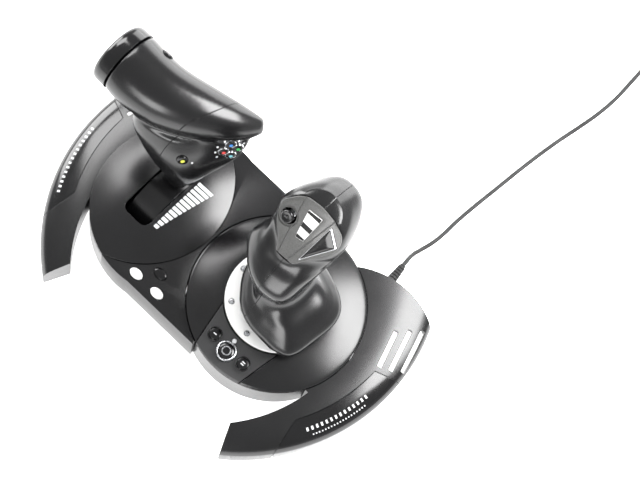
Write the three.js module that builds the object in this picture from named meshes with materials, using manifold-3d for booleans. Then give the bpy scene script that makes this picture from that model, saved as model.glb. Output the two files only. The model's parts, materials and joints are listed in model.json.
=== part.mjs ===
// Two-unit flight joystick: a throttle unit on the left and a stick unit on the right, joined into one desk console.
// Millimetres, +Z up, the user sits on the -Y side. The plane x = 0 is the mirror plane of the two bases.
import * as THREE from 'three';
import { mergeVertices } from 'three/addons/utils/BufferGeometryUtils.js';
import Module from 'manifold-3d';

const wasm = await Module();
wasm.setup();

// ---- Driving dimensions -------------------------------------------------------------------------
const GAP = 0.3; // clearance between pieces that touch
const ROUND = 40; // sides of a large circle
const WIDE = 80; // sides of the circles that shape the wings
const PLAN_SHIFT = 16.2; // moves the footprint's centre onto the origin
const STICK_X = 59.5;
const THROTTLE_X = -59.5;
const BASE_RADIUS = 80;
const WALL = 2.4;
const FLOOR_TOP = 4.5; // top of the bottom plates
const FOOT_HEIGHT = 1.2;
const FOOT = { inner: 51, outer: 58 };
const WALL_TOP = 39;
const DECK_TOP = 42;
const GIMBAL_Z = 25;
const COLLAR = { inner: 33.5, outer: 47, bottom: 49.5, top: 52.5, studCircle: 41, studs: 8 };
const BOOT_RADIUS = 40;
const WING = { centreY: 17, outer: 183, bottom: 4, inlayInner: 160 };
const LEVER = { z: 12, x: -82.5, drum: 38, width: 26, restAngle: 21.5 };
const SLOT = { halfWidth: 14.5, front: -36, back: 49, corner: 8 };
const GRIP = { bottom: 68, seamX: -8, skin: 2.4 };
const PANEL = { footY: -2, footZ: 172, slope: 45.7, thickness: 2 };
const CORD = { radius: 2, coilInner: 17, coilOuter: 29, coilHeight: 16, coilX: 172, coilY: 452 };

// ---- Turning three.js geometry into solids and back ---------------------------------------------
function signedVolume(position, index) {
  const [a, b, c] = [new THREE.Vector3(), new THREE.Vector3(), new THREE.Vector3()];
  let total = 0;
  for (let i = 0; i < index.count; i += 3) {
    a.fromBufferAttribute(position, index.getX(i));
    b.fromBufferAttribute(position, index.getX(i + 1));
    c.fromBufferAttribute(position, index.getX(i + 2));
    total += a.dot(b.cross(c));
  }
  return total;
}

function toSolid(geometry) {
  const plain = geometry.clone();
  plain.deleteAttribute('normal');
  plain.deleteAttribute('uv');
  const merged = mergeVertices(plain, 1e-4);
  const triangles = new Uint32Array(merged.index.array);
  if (signedVolume(merged.attributes.position, merged.index) < 0) {
    triangles.reverse();
  }
  const vertices = new Float32Array(merged.attributes.position.array);
  return new wasm.Manifold(new wasm.Mesh({ numProp: 3, vertProperties: vertices, triVerts: triangles }));
}

function toGeometry(solid) {
  const mesh = solid.getMesh();
  const geometry = new THREE.BufferGeometry();
  geometry.setAttribute('position', new THREE.BufferAttribute(new Float32Array(mesh.vertProperties), 3));
  geometry.setIndex(new THREE.BufferAttribute(new Uint32Array(mesh.triVerts), 1));
  return geometry;
}

const join = (first, ...others) => others.reduce((sum, other) => sum.add(other), first);
const cut = (first, ...tools) => tools.reduce((rest, tool) => rest.subtract(tool), first);

// ---- Basic shapes -------------------------------------------------------------------------------
function box(x0, x1, y0, y1, z0, z1) {
  const geometry = new THREE.BoxGeometry(x1 - x0, y1 - y0, z1 - z0);
  geometry.translate((x0 + x1) / 2, (y0 + y1) / 2, (z0 + z1) / 2);
  return toSolid(geometry);
}

function rod(from, to, radius, segments = 20, endRadius = radius) {
  const [start, end] = [new THREE.Vector3(...from), new THREE.Vector3(...to)];
  const geometry = new THREE.CylinderGeometry(endRadius, radius, start.distanceTo(end), segments);
  const direction = end.clone().sub(start).normalize();
  geometry.applyQuaternion(new THREE.Quaternion().setFromUnitVectors(new THREE.Vector3(0, 1, 0), direction));
  geometry.translate(...start.add(end).multiplyScalar(0.5));
  return toSolid(geometry);
}

const disc = (x, y, z0, z1, radius, segments = 24) => rod([x, y, z0], [x, y, z1], radius, segments);

function prism(points, z0, z1) {
  const shape = new THREE.Shape(points.map(([x, y]) => new THREE.Vector2(x, y)));
  const geometry = new THREE.ExtrudeGeometry(shape, { depth: z1 - z0, bevelEnabled: false });
  geometry.translate(0, 0, z0);
  return toSolid(geometry);
}

function turned(profile, x, y, segments = ROUND) {
  const geometry = new THREE.LatheGeometry(profile.map(([r, z]) => new THREE.Vector2(r, z)), segments);
  geometry.rotateX(Math.PI / 2);
  geometry.translate(x, y, 0);
  return toSolid(geometry);
}

function ring(x, y, z0, z1, inner, outer, segments = ROUND) {
  return turned([[inner, z0], [outer, z0], [outer, z1], [inner, z1], [inner, z0]], x, y, segments);
}

function ovalPrism(x, y, length, width, z0, z1) {
  const shape = new THREE.Shape();
  shape.absellipse(x, y, length / 2, width / 2, 0, Math.PI * 2, false, 0);
  const geometry = new THREE.ExtrudeGeometry(shape, { depth: z1 - z0, bevelEnabled: false, curveSegments: 12 });
  geometry.translate(0, 0, z0);
  return toSolid(geometry);
}

function roundedPlate(x0, x1, y0, y1, corner, z0, z1) {
  const shape = new THREE.Shape();
  shape.absarc(x1 - corner, y1 - corner, corner, 0, Math.PI / 2);
  shape.absarc(x0 + corner, y1 - corner, corner, Math.PI / 2, Math.PI);
  shape.absarc(x0 + corner, y0 + corner, corner, Math.PI, Math.PI * 1.5);
  shape.absarc(x1 - corner, y0 + corner, corner, Math.PI * 1.5, Math.PI * 2);
  const geometry = new THREE.ExtrudeGeometry(shape, { depth: z1 - z0, bevelEnabled: false, curveSegments: 5 });
  geometry.translate(0, 0, z0);
  return toSolid(geometry);
}

// A closed body through a row of rings, each a list of Vector3 with the same number of points.
function loft(rings) {
  const count = rings[0].length;
  const centres = [rings[0], rings[rings.length - 1]].map((points) => {
    const sum = points.reduce((total, point) => total.add(point), new THREE.Vector3());
    return sum.divideScalar(count);
  });
  const points = [...rings.flat(), ...centres];
  const index = [];
  for (let k = 0; k < rings.length - 1; k += 1) {
    for (let i = 0; i < count; i += 1) {
      const [a, b] = [k * count + i, k * count + (i + 1) % count];
      index.push(a, b, b + count, a, b + count, a + count);
    }
  }
  const last = (rings.length - 1) * count;
  for (let i = 0; i < count; i += 1) {
    const next = (i + 1) % count;
    index.push(next, i, rings.length * count);
    index.push(last + i, last + next, rings.length * count + 1);
  }
  const geometry = new THREE.BufferGeometry().setFromPoints(points);
  geometry.setIndex(index);
  return toSolid(geometry);
}

// Points of a smooth closed outline, taken at even angles about its middle so that rings line up with one another.
function outlineRing(section, inset, count = 26) {
  const corners = section.outline.map(([x, y]) => new THREE.Vector3(x, y, 0));
  const dense = new THREE.CatmullRomCurve3(corners, true, 'centripetal').getPoints(240);
  const [cx, cy] = section.middle;
  const polar = dense.map((p) => ({ angle: Math.atan2(p.y - cy, p.x - cx), r: Math.hypot(p.x - cx, p.y - cy) }));
  polar.sort((p, q) => p.angle - q.angle);
  return Array.from({ length: count }, (_, i) => {
    const angle = -Math.PI + (i + 0.5) * 2 * Math.PI / count;
    const after = polar.findIndex((p) => p.angle >= angle);
    const near = polar[after < 0 ? 0 : after];
    const radius = Math.max(near.r - inset, 0.5);
    return new THREE.Vector3(cx + radius * Math.cos(angle), cy + radius * Math.sin(angle), section.z);
  });
}

// Where a ray meets a solid's outside, with the outward direction there.
function seatOn(solid, from, towards) {
  const mesh = new THREE.Mesh(toGeometry(solid), new THREE.MeshBasicMaterial({ side: THREE.DoubleSide }));
  const [origin, target] = [new THREE.Vector3(...from), new THREE.Vector3(...towards)];
  const hits = new THREE.Raycaster(origin, target.sub(origin).normalize()).intersectObject(mesh);
  return { point: hits[0].point, normal: hits[0].face.normal.clone() };
}

function pegOn(seat, inside, outside, radius, segments = 18) {
  const from = seat.point.clone().addScaledVector(seat.normal, -inside);
  const to = seat.point.clone().addScaledVector(seat.normal, outside);
  return rod(from.toArray(), to.toArray(), radius, segments);
}

function turnAboutX(solid, y, z, degrees) {
  const geometry = toGeometry(solid);
  geometry.translate(0, -y, -z);
  geometry.rotateX(THREE.MathUtils.degToRad(degrees));
  geometry.translate(0, y, z);
  return toSolid(geometry);
}

// ---- Materials ----------------------------------------------------------------------------------
const finish = (color, roughness, metalness = 0) => ({ color, roughness, metalness });
const SATIN_BLACK = finish(0x1b1b1d, 0.42);
const GLOSS_BLACK = finish(0x0c0c0d, 0.12);
const WHITE = finish(0xf2f2f0, 0.4);
const GREY_METAL = finish(0x8b8b86, 0.35, 0.6);
const STEEL = finish(0xb8bbc0, 0.3, 1);
const RUBBER = finish(0x151515, 0.9);
const BOARD_GREEN = finish(0x1f5a35, 0.5);

const model = new THREE.Group();
model.name = 'flight_joystick';
model.position.y = PLAN_SHIFT;

function add(name, solid, material) {
  const mesh = new THREE.Mesh(toGeometry(solid), new THREE.MeshStandardMaterial(material));
  mesh.name = name;
  model.add(mesh);
}

// ---- Stick unit: fixed base ---------------------------------------------------------------------
function addStickBase() {
  const dialHole = disc(STICK_X, 0, 0, 10, 12);
  const plate = disc(STICK_X, 0, FOOT_HEIGHT + GAP, FLOOR_TOP, BASE_RADIUS - WALL - GAP, ROUND);
  add('stick_base_plate', cut(plate, dialHole), SATIN_BLACK);

  const wall = turned([
    [BASE_RADIUS - WALL, 1.8], [BASE_RADIUS, 1.8], [BASE_RADIUS, WALL_TOP], [BASE_RADIUS - 7, WALL_TOP],
    [BASE_RADIUS - 7, WALL_TOP - 2], [BASE_RADIUS - WALL, WALL_TOP - 2], [BASE_RADIUS - WALL, 1.8],
  ], STICK_X, 0);
  add('stick_base_wall', wall, SATIN_BLACK);

  const dial = join(disc(STICK_X, 0, 1.6, 5.5, 11.7), box(STICK_X - 8, STICK_X + 8, -1.5, 1.5, 5.4, 8));
  add('stiffness_dial', dial, SATIN_BLACK);
}

function domeBody() {
  return turned([
    [34.5, 46.7], [48, 46.9], [60, 44.7], [70, 42], [77, 39.3], [79.6, 39.3], [80, 40.8], [78.8, 42.3],
    [70, 44.9], [60, 47.3], [52, 48.8], [48, 49.2], [34.5, 49.2], [34.5, 46.7],
  ], STICK_X, 0);
}

function panelOutline(margin) {
  const [innerHalf, outerHalf] = [34 + margin, 24.5 + margin];
  return prism([
    [STICK_X - innerHalf, -33], [STICK_X - outerHalf, -86], [STICK_X + outerHalf, -86], [STICK_X + innerHalf, -33],
  ], 30, 60);
}

const PANEL_BUTTONS = [
  { name: 'guide_button', x: -1, y: -64, radius: 7.3, top: 49.4, hole: 9.2 },
  { name: 'panel_button_left', x: -18.5, y: -60, radius: 5.4, top: 48.6, hole: 5.8 },
  { name: 'panel_button_right', x: 17, y: -62, radius: 5.4, top: 48.6, hole: 5.8 },
];

function addControlPanel() {
  const insideCollar = disc(STICK_X, 0, 30, 60, COLLAR.outer + 1, ROUND);
  const opening = cut(panelOutline(0), insideCollar);
  add('stick_dome', cut(domeBody(), opening), SATIN_BLACK);

  const seatLens = { x: STICK_X - 2, y: -53 };
  const inset = cut(panelOutline(-0.5), disc(STICK_X, 0, 30, 60, COLLAR.outer + 1.5, ROUND));
  const holes = PANEL_BUTTONS.map((b) => disc(STICK_X + b.x, b.y, 30, 60, b.hole));
  const lensHole = disc(seatLens.x, seatLens.y, 30, 60, 2.4, 14);
  add('control_panel', cut(domeBody().intersect(inset), ...holes, lensHole), SATIN_BLACK);
  add('status_lens', disc(seatLens.x, seatLens.y, 44.5, 49.2, 2, 14), WHITE);

  for (const button of PANEL_BUTTONS) {
    const [x, y] = [STICK_X + button.x, button.y];
    const cap = turned([
      [0, 42], [button.radius, 42], [button.radius, button.top - 1], [button.radius - 1, button.top],
      [0, button.top + 0.3],
    ], x, y, 28);
    add(button.name, join(cap, disc(x, y, 36.9, 43, 3)), button.name === 'guide_button' ? STEEL : SATIN_BLACK);
  }
  const guide = PANEL_BUTTONS[0];
  add('guide_bezel', ring(STICK_X + guide.x, guide.y, 44.2, 49.2, 7.6, 8.9, 32), STEEL);
  add('stick_circuit_board', box(STICK_X - 26, STICK_X + 26, -72, -46, 34, 35.6), BOARD_GREEN);
}

function addCollar() {
  const studAt = (i, radius, z0, z1) => {
    const angle = (i + 0.04) * 2 * Math.PI / COLLAR.studs;
    const [x, y] = [STICK_X + COLLAR.studCircle * Math.cos(angle), COLLAR.studCircle * Math.sin(angle)];
    return disc(x, y, z0, z1, radius, 12);
  };
  const studs = Array.from({ length: COLLAR.studs }, (_, i) => studAt(i, 2.3, 50, 53.2));
  const holes = Array.from({ length: COLLAR.studs }, (_, i) => studAt(i, 2.6, 49, 54));
  const groove = ring(STICK_X, 0, 49, 50.8, COLLAR.studCircle - 2, COLLAR.studCircle + 2);
  const collar = turned([
    [COLLAR.inner, COLLAR.bottom], [COLLAR.outer, COLLAR.bottom], [COLLAR.outer, COLLAR.top - 0.8],
    [COLLAR.outer - 1, COLLAR.top], [COLLAR.inner + 1, COLLAR.top], [COLLAR.inner, COLLAR.top - 1],
    [COLLAR.inner, COLLAR.bottom],
  ], STICK_X, 0);
  add('gimbal_collar', cut(collar, groove, ...holes), WHITE);
  const carrier = ring(STICK_X, 0, COLLAR.bottom, 50.5, COLLAR.studCircle - 1.7, COLLAR.studCircle + 1.7);
  add('collar_studs', join(carrier, ...studs), STEEL);
}

// ---- Stick unit: gimbal -------------------------------------------------------------------------
function addGimbal() {
  const alongX = (x0, x1, r) => rod([STICK_X + x0, 0, GIMBAL_Z], [STICK_X + x1, 0, GIMBAL_Z], r, 16);
  const alongY = (y0, y1, r) => rod([STICK_X, y0, GIMBAL_Z], [STICK_X, y1, GIMBAL_Z], r, 16);
  const legs = [45, 135, 225, 315].map((degrees) => {
    const angle = THREE.MathUtils.degToRad(degrees);
    return disc(STICK_X + 32 * Math.cos(angle), 32 * Math.sin(angle), FLOOR_TOP + GAP, 15, 3.5, 12);
  });
  const springSeat = ring(STICK_X, 0, 34, 35.3, 15, 34, 32);
  const housing = join(ring(STICK_X, 0, 14, 34.5, 30, 34, 32), springSeat, ...legs);
  add('gimbal_housing', cut(housing, alongX(-40, 40, 2.9)), SATIN_BLACK);

  const pins = join(alongX(-34, -18, 2.6), alongX(18, 34, 2.6));
  const yoke = join(ring(STICK_X, 0, 21, 29, 16, 19, 24), pins);
  add('gimbal_yoke', cut(yoke, alongY(-24, 24, 2.9)), STEEL);

  const post = join(disc(STICK_X, 0, 17, 33, 9), alongY(-19.5, 19.5, 2.6), disc(STICK_X, 0, 32, 112, 6));
  add('stick_shaft', join(post, disc(STICK_X, 0, 43.3, 45.3, 19, 24)), STEEL);

  add('roll_sensor', box(STICK_X - 5, STICK_X + 5, -22.6, -19.9, 22, 28), BOARD_GREEN);
  add('pitch_sensor', box(STICK_X + 34.6, STICK_X + 42, -8, 8, 16, 31), BOARD_GREEN);
  add('centring_spring', coilSpring(STICK_X, 0, 36.9, 42, 17, 1.1, 2), STEEL);
}

function coilSpring(x, y, z0, z1, radius, wire, turns) {
  const points = Array.from({ length: turns * 12 + 1 }, (_, i) => {
    const angle = i * Math.PI / 6;
    const rise = (z1 - z0) * i / (turns * 12);
    return new THREE.Vector3(x + radius * Math.cos(angle), y + radius * Math.sin(angle), z0 + rise);
  });
  return tube(points, wire, 6, turns * 12);
}

function tube(points, radius, sides, steps) {
  const section = new THREE.Shape();
  section.absarc(0, 0, radius, 0, Math.PI * 2);
  const path = new THREE.CatmullRomCurve3(points);
  const settings = { extrudePath: path, steps, curveSegments: sides / 2, bevelEnabled: false };
  const shape = new THREE.Shape(section.getPoints(sides / 2).slice(0, -1));
  return toSolid(new THREE.ExtrudeGeometry(shape, settings));
}

function addBoot() {
  const arc = (radius, from, to) => Array.from({ length: 6 }, (_, i) => {
    const angle = THREE.MathUtils.degToRad(from + (to - from) * i / 5);
    return [radius * Math.sin(angle), GIMBAL_Z + radius * Math.cos(angle)];
  });
  const [rim, top] = [62, 9.2];
  const outer = arc(BOOT_RADIUS, rim, top);
  const inner = arc(BOOT_RADIUS - 2.2, top, rim);
  add('stick_boot', turned([...outer, ...inner, outer[0]], STICK_X, 0, 30), SATIN_BLACK);
}

// ---- Stick unit: grip ---------------------------------------------------------------------------
// Level sections of the hand grip, measured from the stick's centre.
const SKIRT_EDGE = [
  [-40, 8], [-37.5, -7], [-27, -23], [-15, -34], [0, -39.5], [16, -40.5], [32, -40], [42, -36], [46.5, -28],
  [49.5, -10], [51.5, 12], [48, 25], [39, 34], [24, 41], [6, 46], [-12, 45], [-28, 36], [-37, 22],
];

function scaled(outline, middle, factor, dx = 0, dy = 0) {
  return outline.map(([x, y]) => [
    middle[0] + (x - middle[0]) * factor + dx, middle[1] + (y - middle[1]) * factor + dy,
  ]);
}

const GRIP_SECTIONS = [
  { z: 71, middle: [4, 2], outline: scaled(SKIRT_EDGE, [4, 2], 1) },
  { z: 75, middle: [4, 2], outline: scaled(SKIRT_EDGE, [4, 2], 0.985) },
  { z: 81, middle: [1, 3], outline: scaled(SKIRT_EDGE, [1, 3], 0.86) },
  { z: 88, middle: [-3, 4], outline: scaled(SKIRT_EDGE, [-3, 4], 0.69) },
  {
    z: 97, middle: [-8, 5],
    outline: [[-33, 5], [-28, -12], [-8, -20], [12, -15], [18, 6], [13, 25], [-8, 34], [-28, 25]],
  },
  {
    z: 110, middle: [-10, 5],
    outline: [[-34, 4], [-28, -13], [-10, -19], [8, -14], [14, 5], [9, 24], [-10, 33], [-29, 24]],
  },
  {
    z: 124, middle: [-12, 4],
    outline: [[-39, 4], [-33, -14], [-12, -23], [9, -17], [16, 4], [11, 26], [-10, 35], [-33, 26]],
  },
  {
    z: 138, middle: [-14, 3],
    outline: [[-46, 2], [-36, -13], [-18, -25], [-2, -28], [13, -23], [18, 4], [14, 28], [-10, 38], [-37, 28]],
  },
  {
    z: 150, middle: [-14, 4],
    outline: [[-46, 2], [-35, -15], [-16, -27], [-2, -29], [13, -24], [19, 4], [16, 29], [-9, 41], [-36, 29]],
  },
  {
    z: 160, middle: [-12, 8],
    outline: [[-42, 6], [-32, -10], [-15, -17], [-2, -18], [12, -14], [20, 8], [18, 34], [-9, 48], [-36, 32]],
  },
  {
    z: 167, middle: [-10, 16],
    outline: [[-38, 14], [-30, -3], [-14, -6], [-2, -6], [10, -3], [20, 14], [19, 40], [-9, 60], [-36, 40]],
  },
  {
    z: 175, middle: [-9, 26],
    outline: [[-40, 20], [-24, 4], [-9, -2], [6, 4], [22, 22], [19, 48], [2, 68], [-20, 68], [-38, 46]],
  },
  {
    z: 184, middle: [-9, 34],
    outline: [[-41, 24], [-26, 8], [-9, 4], [9, 10], [23, 26], [20, 50], [4, 74], [-20, 75], [-39, 48]],
  },
  {
    z: 194, middle: [-9, 38],
    outline: [[-41, 26], [-28, 16], [-9, 14], [10, 18], [22, 28], [19, 50], [3, 73], [-19, 74], [-37, 48]],
  },
  {
    z: 204, middle: [-9, 40],
    outline: [[-36, 32], [-26, 24], [-9, 22], [9, 26], [18, 33], [14, 48], [0, 62], [-17, 63], [-32, 48]],
  },
  {
    z: 211, middle: [-9, 40],
    outline: [[-28, 36], [-20, 31], [-9, 30], [2, 32], [9, 37], [6, 45], [-3, 51], [-15, 52], [-24, 46]],
  },
];

function atStick(rings) {
  return rings.map((points) => points.map((p) => new THREE.Vector3(p.x + STICK_X, p.y, p.z)));
}

function gripForm(inset) {
  const sections = GRIP_SECTIONS.map((section) => outlineRing(section, inset));
  if (inset > 0) {
    sections[0].forEach((p) => p.setZ(70));
    sections[sections.length - 1].forEach((p) => p.setZ(211 - inset));
  }
  return loft(atStick(sections));
}

// The head panel's frame: u runs across, v runs up the slope and w points out of the panel.
function onPanel(solid) {
  const geometry = toGeometry(solid);
  geometry.rotateX(THREE.MathUtils.degToRad(PANEL.slope));
  geometry.translate(STICK_X, PANEL.footY, PANEL.footZ);
  return toSolid(geometry);
}

const upSlope = (y) => (y - PANEL.footY) / Math.cos(THREE.MathUtils.degToRad(PANEL.slope));
const panelPoints = (points) => points.map(([x, y]) => [x, upSlope(y)]);

const PANEL_EDGE = panelPoints([
  [-17.7, -2], [1, -1.5], [21.5, 23], [20.5, 29], [17, 33], [4, 36.8], [-10, 38], [-24, 36.8], [-31, 33], [-38.5, 25],
  [-37, 19], [-32, 12], [-24.5, 7], [-19.5, 2],
]);
const DIAMOND = panelPoints([[-17, 31.5], [-3, 32.5], [-4.5, 14], [-12, 13]]);
const TRIANGLE = panelPoints([[6.5, 31.5], [18.5, 24.5], [2.5, 4.5]]);

function grown(points, margin) {
  const [cx, cy] = [0, 1].map((k) => points.reduce((sum, p) => sum + p[k], 0) / points.length);
  return points.map(([x, y]) => {
    const length = Math.hypot(x - cx, y - cy);
    return [cx + (x - cx) * (1 + margin / length), cy + (y - cy) * (1 + margin / length)];
  });
}

function groove(from, to) {
  const [a, b] = [new THREE.Vector2(...from), new THREE.Vector2(...to)];
  const side = b.clone().sub(a).normalize().rotateAround(new THREE.Vector2(), Math.PI / 2).multiplyScalar(0.5);
  const corners = [a.clone().add(side), b.clone().add(side), b.clone().sub(side), a.clone().sub(side)];
  return prism(corners.map((p) => [p.x, p.y]), PANEL.thickness - 1.1, PANEL.thickness + 1);
}

const HAT = { x: -27, y: 19.5, radius: 5.6 };

function panelTools() {
  const hat = [HAT.x, upSlope(HAT.y)];
  return {
    hatHole: onPanel(disc(...hat, -12, 8, HAT.radius + 1.6)),
    diamondHole: onPanel(prism(grown(DIAMOND, 0.5), -12, 8)),
    triangleHole: onPanel(prism(grown(TRIANGLE, 0.5), -12, 8)),
  };
}

function addGripHead() {
  const grooves = [
    groove(...panelPoints([[-26, 39], [-14.5, -4]])), groove(...panelPoints([[6, 39], [-6, -4]])),
  ].map(onPanel);
  const holes = Object.values(panelTools());
  const plate = onPanel(prism(PANEL_EDGE, 0, PANEL.thickness));
  add('head_panel', cut(plate, ...grooves, ...holes), GREY_METAL);

  const hatCentre = [HAT.x, upSlope(HAT.y)];
  const cap = turned([
    [0, 2.6], [HAT.radius, 2.6], [HAT.radius, 4.4], [HAT.radius - 1.2, 5.6], [HAT.radius - 2.6, 5], [0, 4.4],
  ], ...hatCentre, 24);
  add('hat_switch', onPanel(join(cap, disc(...hatCentre, -1.5, 3, 2.2, 12))), SATIN_BLACK);
  add('hat_pivot', onPanel(disc(...hatCentre, -6.5, -1.8, 3.6, 12)), STEEL);
  add('head_button_centre', onPanel(prism(DIAMOND, -4, PANEL.thickness + 0.4)), WHITE);
  add('head_button_right', onPanel(prism(TRIANGLE, -4, PANEL.thickness + 1)), GLOSS_BLACK);
}

function addGripShells() {
  const abovePanel = onPanel(box(-80, 80, -1.5, 90, -GAP, 80));
  const holes = Object.values(panelTools());
  const triggerSlot = box(STICK_X + GRIP.seamX - 8.6, STICK_X + GRIP.seamX + 8.6, 24, 90, 134, 173);
  const shell = cut(gripForm(0), gripForm(GRIP.skin), abovePanel, ...holes, triggerSlot);
  const seam = STICK_X + GRIP.seamX;
  add('grip_left', shell.intersect(box(seam - 90, seam - GAP / 2, -90, 110, 60, 230)), SATIN_BLACK);
  add('grip_right', shell.intersect(box(seam + GAP / 2, seam + 90, -90, 110, 60, 230)), SATIN_BLACK);

  const floor = loft(atStick([
    outlineRing({ ...GRIP_SECTIONS[0], z: GRIP.bottom }, 1.5), outlineRing({ ...GRIP_SECTIONS[0], z: 69.3 }, 0),
    outlineRing({ ...GRIP_SECTIONS[0], z: 70.7 }, 0),
  ]));
  const socket = ring(STICK_X, 0, 70, 96, 6.4, 9.5, 24);
  add('grip_base', cut(join(floor, socket), disc(STICK_X, 0, 60, 100, 6.4)), SATIN_BLACK);
}

function addTrigger() {
  const centre = STICK_X + GRIP.seamX;
  const side = new THREE.Shape([
    [50, 171], [44, 164], [43, 152], [47, 139], [52, 134], [55, 136], [52, 146], [53, 158], [60, 168],
    [58, 171.5],
  ].map(([y, z]) => new THREE.Vector2(y, z)));
  const geometry = new THREE.ExtrudeGeometry(side, { depth: 15, bevelEnabled: false });
  geometry.rotateY(Math.PI / 2);
  geometry.rotateX(Math.PI / 2);
  geometry.translate(centre - 7.5, 0, 0);
  add('trigger', toSolid(geometry), SATIN_BLACK);
}

// ---- Wings --------------------------------------------------------------------------------------
// Both wings are drawn on the right; the left one is mirrored afterwards.
const RIGHT = { x: 2.5, y: -2.4, tip: 0 };
const LEFT = { x: -2.1, y: 6.9, tip: -8.4 };

function wingOutline(side, inset, z0, z1) {
  const outer = disc(side.x, WING.centreY + side.y, z0, z1, WING.outer - inset, WIDE);
  const beyondMirror = box(-200, 70, -200, 210, z0 - 1, z1 + 1);
  const stickCircle = disc(STICK_X, 0, z0 - 1, z1 + 1, BASE_RADIUS + GAP + 0.2 + inset, ROUND);
  const innerDisc = disc(side.x - 8, side.y - 13, z0 - 1, z1 + 1, 141 + inset, WIDE);
  const innerArc = innerDisc.intersect(box(-200, 200, -200, side.y - 36 + inset, z0 - 1, z1 + 1));
  const backDisc = disc(side.x + 134.8, side.y + 10.5, z0 - 2, z1 + 2, 84 - inset, ROUND);
  const behind = cut(box(60, 230, 40, 220, z0 - 1, z1 + 1), backDisc);
  const tipCut = prism([
    [119.6, -141], [94, -87], [40, -87], [40, -200], [119.6, -200],
  ].map(([x, y]) => [x + side.x + side.tip + inset, y + side.y]), z0 - 1, z1 + 1);
  return cut(outer, beyondMirror, stickCircle, innerArc, behind, tipCut);
}

function wingTop(side, inset) {
  const drop = ([r, z]) => [Math.max(r - inset * 0.6, 0), z - inset];
  const crown = [
    [184, 19], [182.6, 25], [179.5, 29.8], [173, 33.2], [163, 36], [150, 38.4], [130, 40], [0, 41],
  ];
  return turned([[0, 0], [186, 0], ...crown.map(drop)], side.x, WING.centreY + side.y, WIDE);
}

const wingBody = (side, inset, bottom) => wingOutline(side, inset, bottom, 44).intersect(wingTop(side, inset));

function ventSlots(side) {
  const slots = [[[149, 60], [160, 25.5]], [[157.5, 70], [169.5, 30.5]], [[165.5, 79], [178, 38]]];
  return slots.map((ends) => {
    const [a, b] = ends.map(([x, y]) => new THREE.Vector2(x + side.x, y + side.y));
    const across = b.clone().sub(a).normalize().rotateAround(new THREE.Vector2(), Math.PI / 2).multiplyScalar(2.1);
    const corners = [a.clone().add(across), b.clone().add(across), b.clone().sub(across), a.clone().sub(across)];
    return prism(corners.map((p) => [p.x, p.y]), 0, 60);
  });
}

function inlayRegion(side, margin) {
  const onArc = (degrees, radius) => {
    const angle = THREE.MathUtils.degToRad(degrees);
    return [radius * Math.cos(angle), WING.centreY + radius * Math.sin(angle)];
  };
  const arc = Array.from({ length: 9 }, (_, i) => onArc(-26 + 3 * i, WING.inlayInner - margin));
  const lower = [[150, -112], onArc(-29, WING.inlayInner)]
    .map(([x, y]) => [x - 0.98 * margin, y - 0.19 * margin]);
  const upper = [onArc(1, WING.inlayInner), [190, 33]].map(([x, y]) => [x - 0.4 * margin, y + 0.92 * margin]);
  const outline = [...lower, ...arc, ...upper, [200, -60]];
  return prism(outline.map(([x, y]) => [x + side.x, y + side.y]), 0, 60);
}

function mirrored(solid) {
  const geometry = toGeometry(solid);
  geometry.scale(-1, 1, 1);
  return toSolid(geometry);
}

function wingPieces(side) {
  const full = wingBody(side, 0, WING.bottom);
  const pocket = cut(inlayRegion(side, GAP), wingBody(side, 1.5, -1));
  const belowEdge = box(0, 200, -200, 200, 0, WING.bottom + 1);
  const inlay = cut(full.intersect(inlayRegion(side, 0)), wingBody(side, 1.2, -1), belowEdge);
  return { wing: cut(full, wingBody(side, 3.4, -1), pocket, ...ventSlots(side)), inlay };
}

const RELIEF = { x: 115.2, y: 92.4, z: 15 };

function alongRelief(distance) {
  const aim = new THREE.Vector3(-0.09, 1, -0.06).normalize();
  return [RELIEF.x + aim.x * distance, RELIEF.y + aim.y * distance, RELIEF.z + aim.z * distance];
}

function addWings() {
  const right = wingPieces(RIGHT);
  const left = wingPieces(LEFT);
  const reliefHole = rod(alongRelief(-12), alongRelief(18), 5.6, 16);
  const flangeSeat = rod(alongRelief(-7.6), alongRelief(-4.6), 8, 16);
  add('right_wing', cut(right.wing, reliefHole, flangeSeat), SATIN_BLACK);
  add('right_wing_inlay', right.inlay, GLOSS_BLACK);
  add('left_wing', mirrored(left.wing), SATIN_BLACK);
  add('left_wing_inlay', mirrored(left.inlay), GLOSS_BLACK);
}

// ---- Throttle unit: fixed base ------------------------------------------------------------------
function consoleOutline(inset, z0, z1) {
  const round = disc(THROTTLE_X, 0, z0, z1, BASE_RADIUS - inset, ROUND);
  const deck = box(THROTTLE_X, 33 - inset, -79 + inset, 79 - inset, z0, z1);
  return cut(join(round, deck), disc(STICK_X, 0, z0 - 1, z1 + 1, BASE_RADIUS + 0.5 + inset, ROUND));
}

function lens(inset, z0, z1) {
  const left = disc(-103.9, 0, z0, z1, 80.6 - inset, ROUND);
  return left.intersect(disc(THROTTLE_X, 0, z0 - 1, z1 + 1, BASE_RADIUS - inset, ROUND));
}

const DECK_BUTTONS = [
  { name: 'deck_button_left', x: -46, y: -68.6, material: WHITE },
  { name: 'deck_button_right', x: -21, y: -68.6, material: WHITE },
  { name: 'deck_button_upper', x: -31, y: -54, material: GLOSS_BLACK },
];

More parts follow.
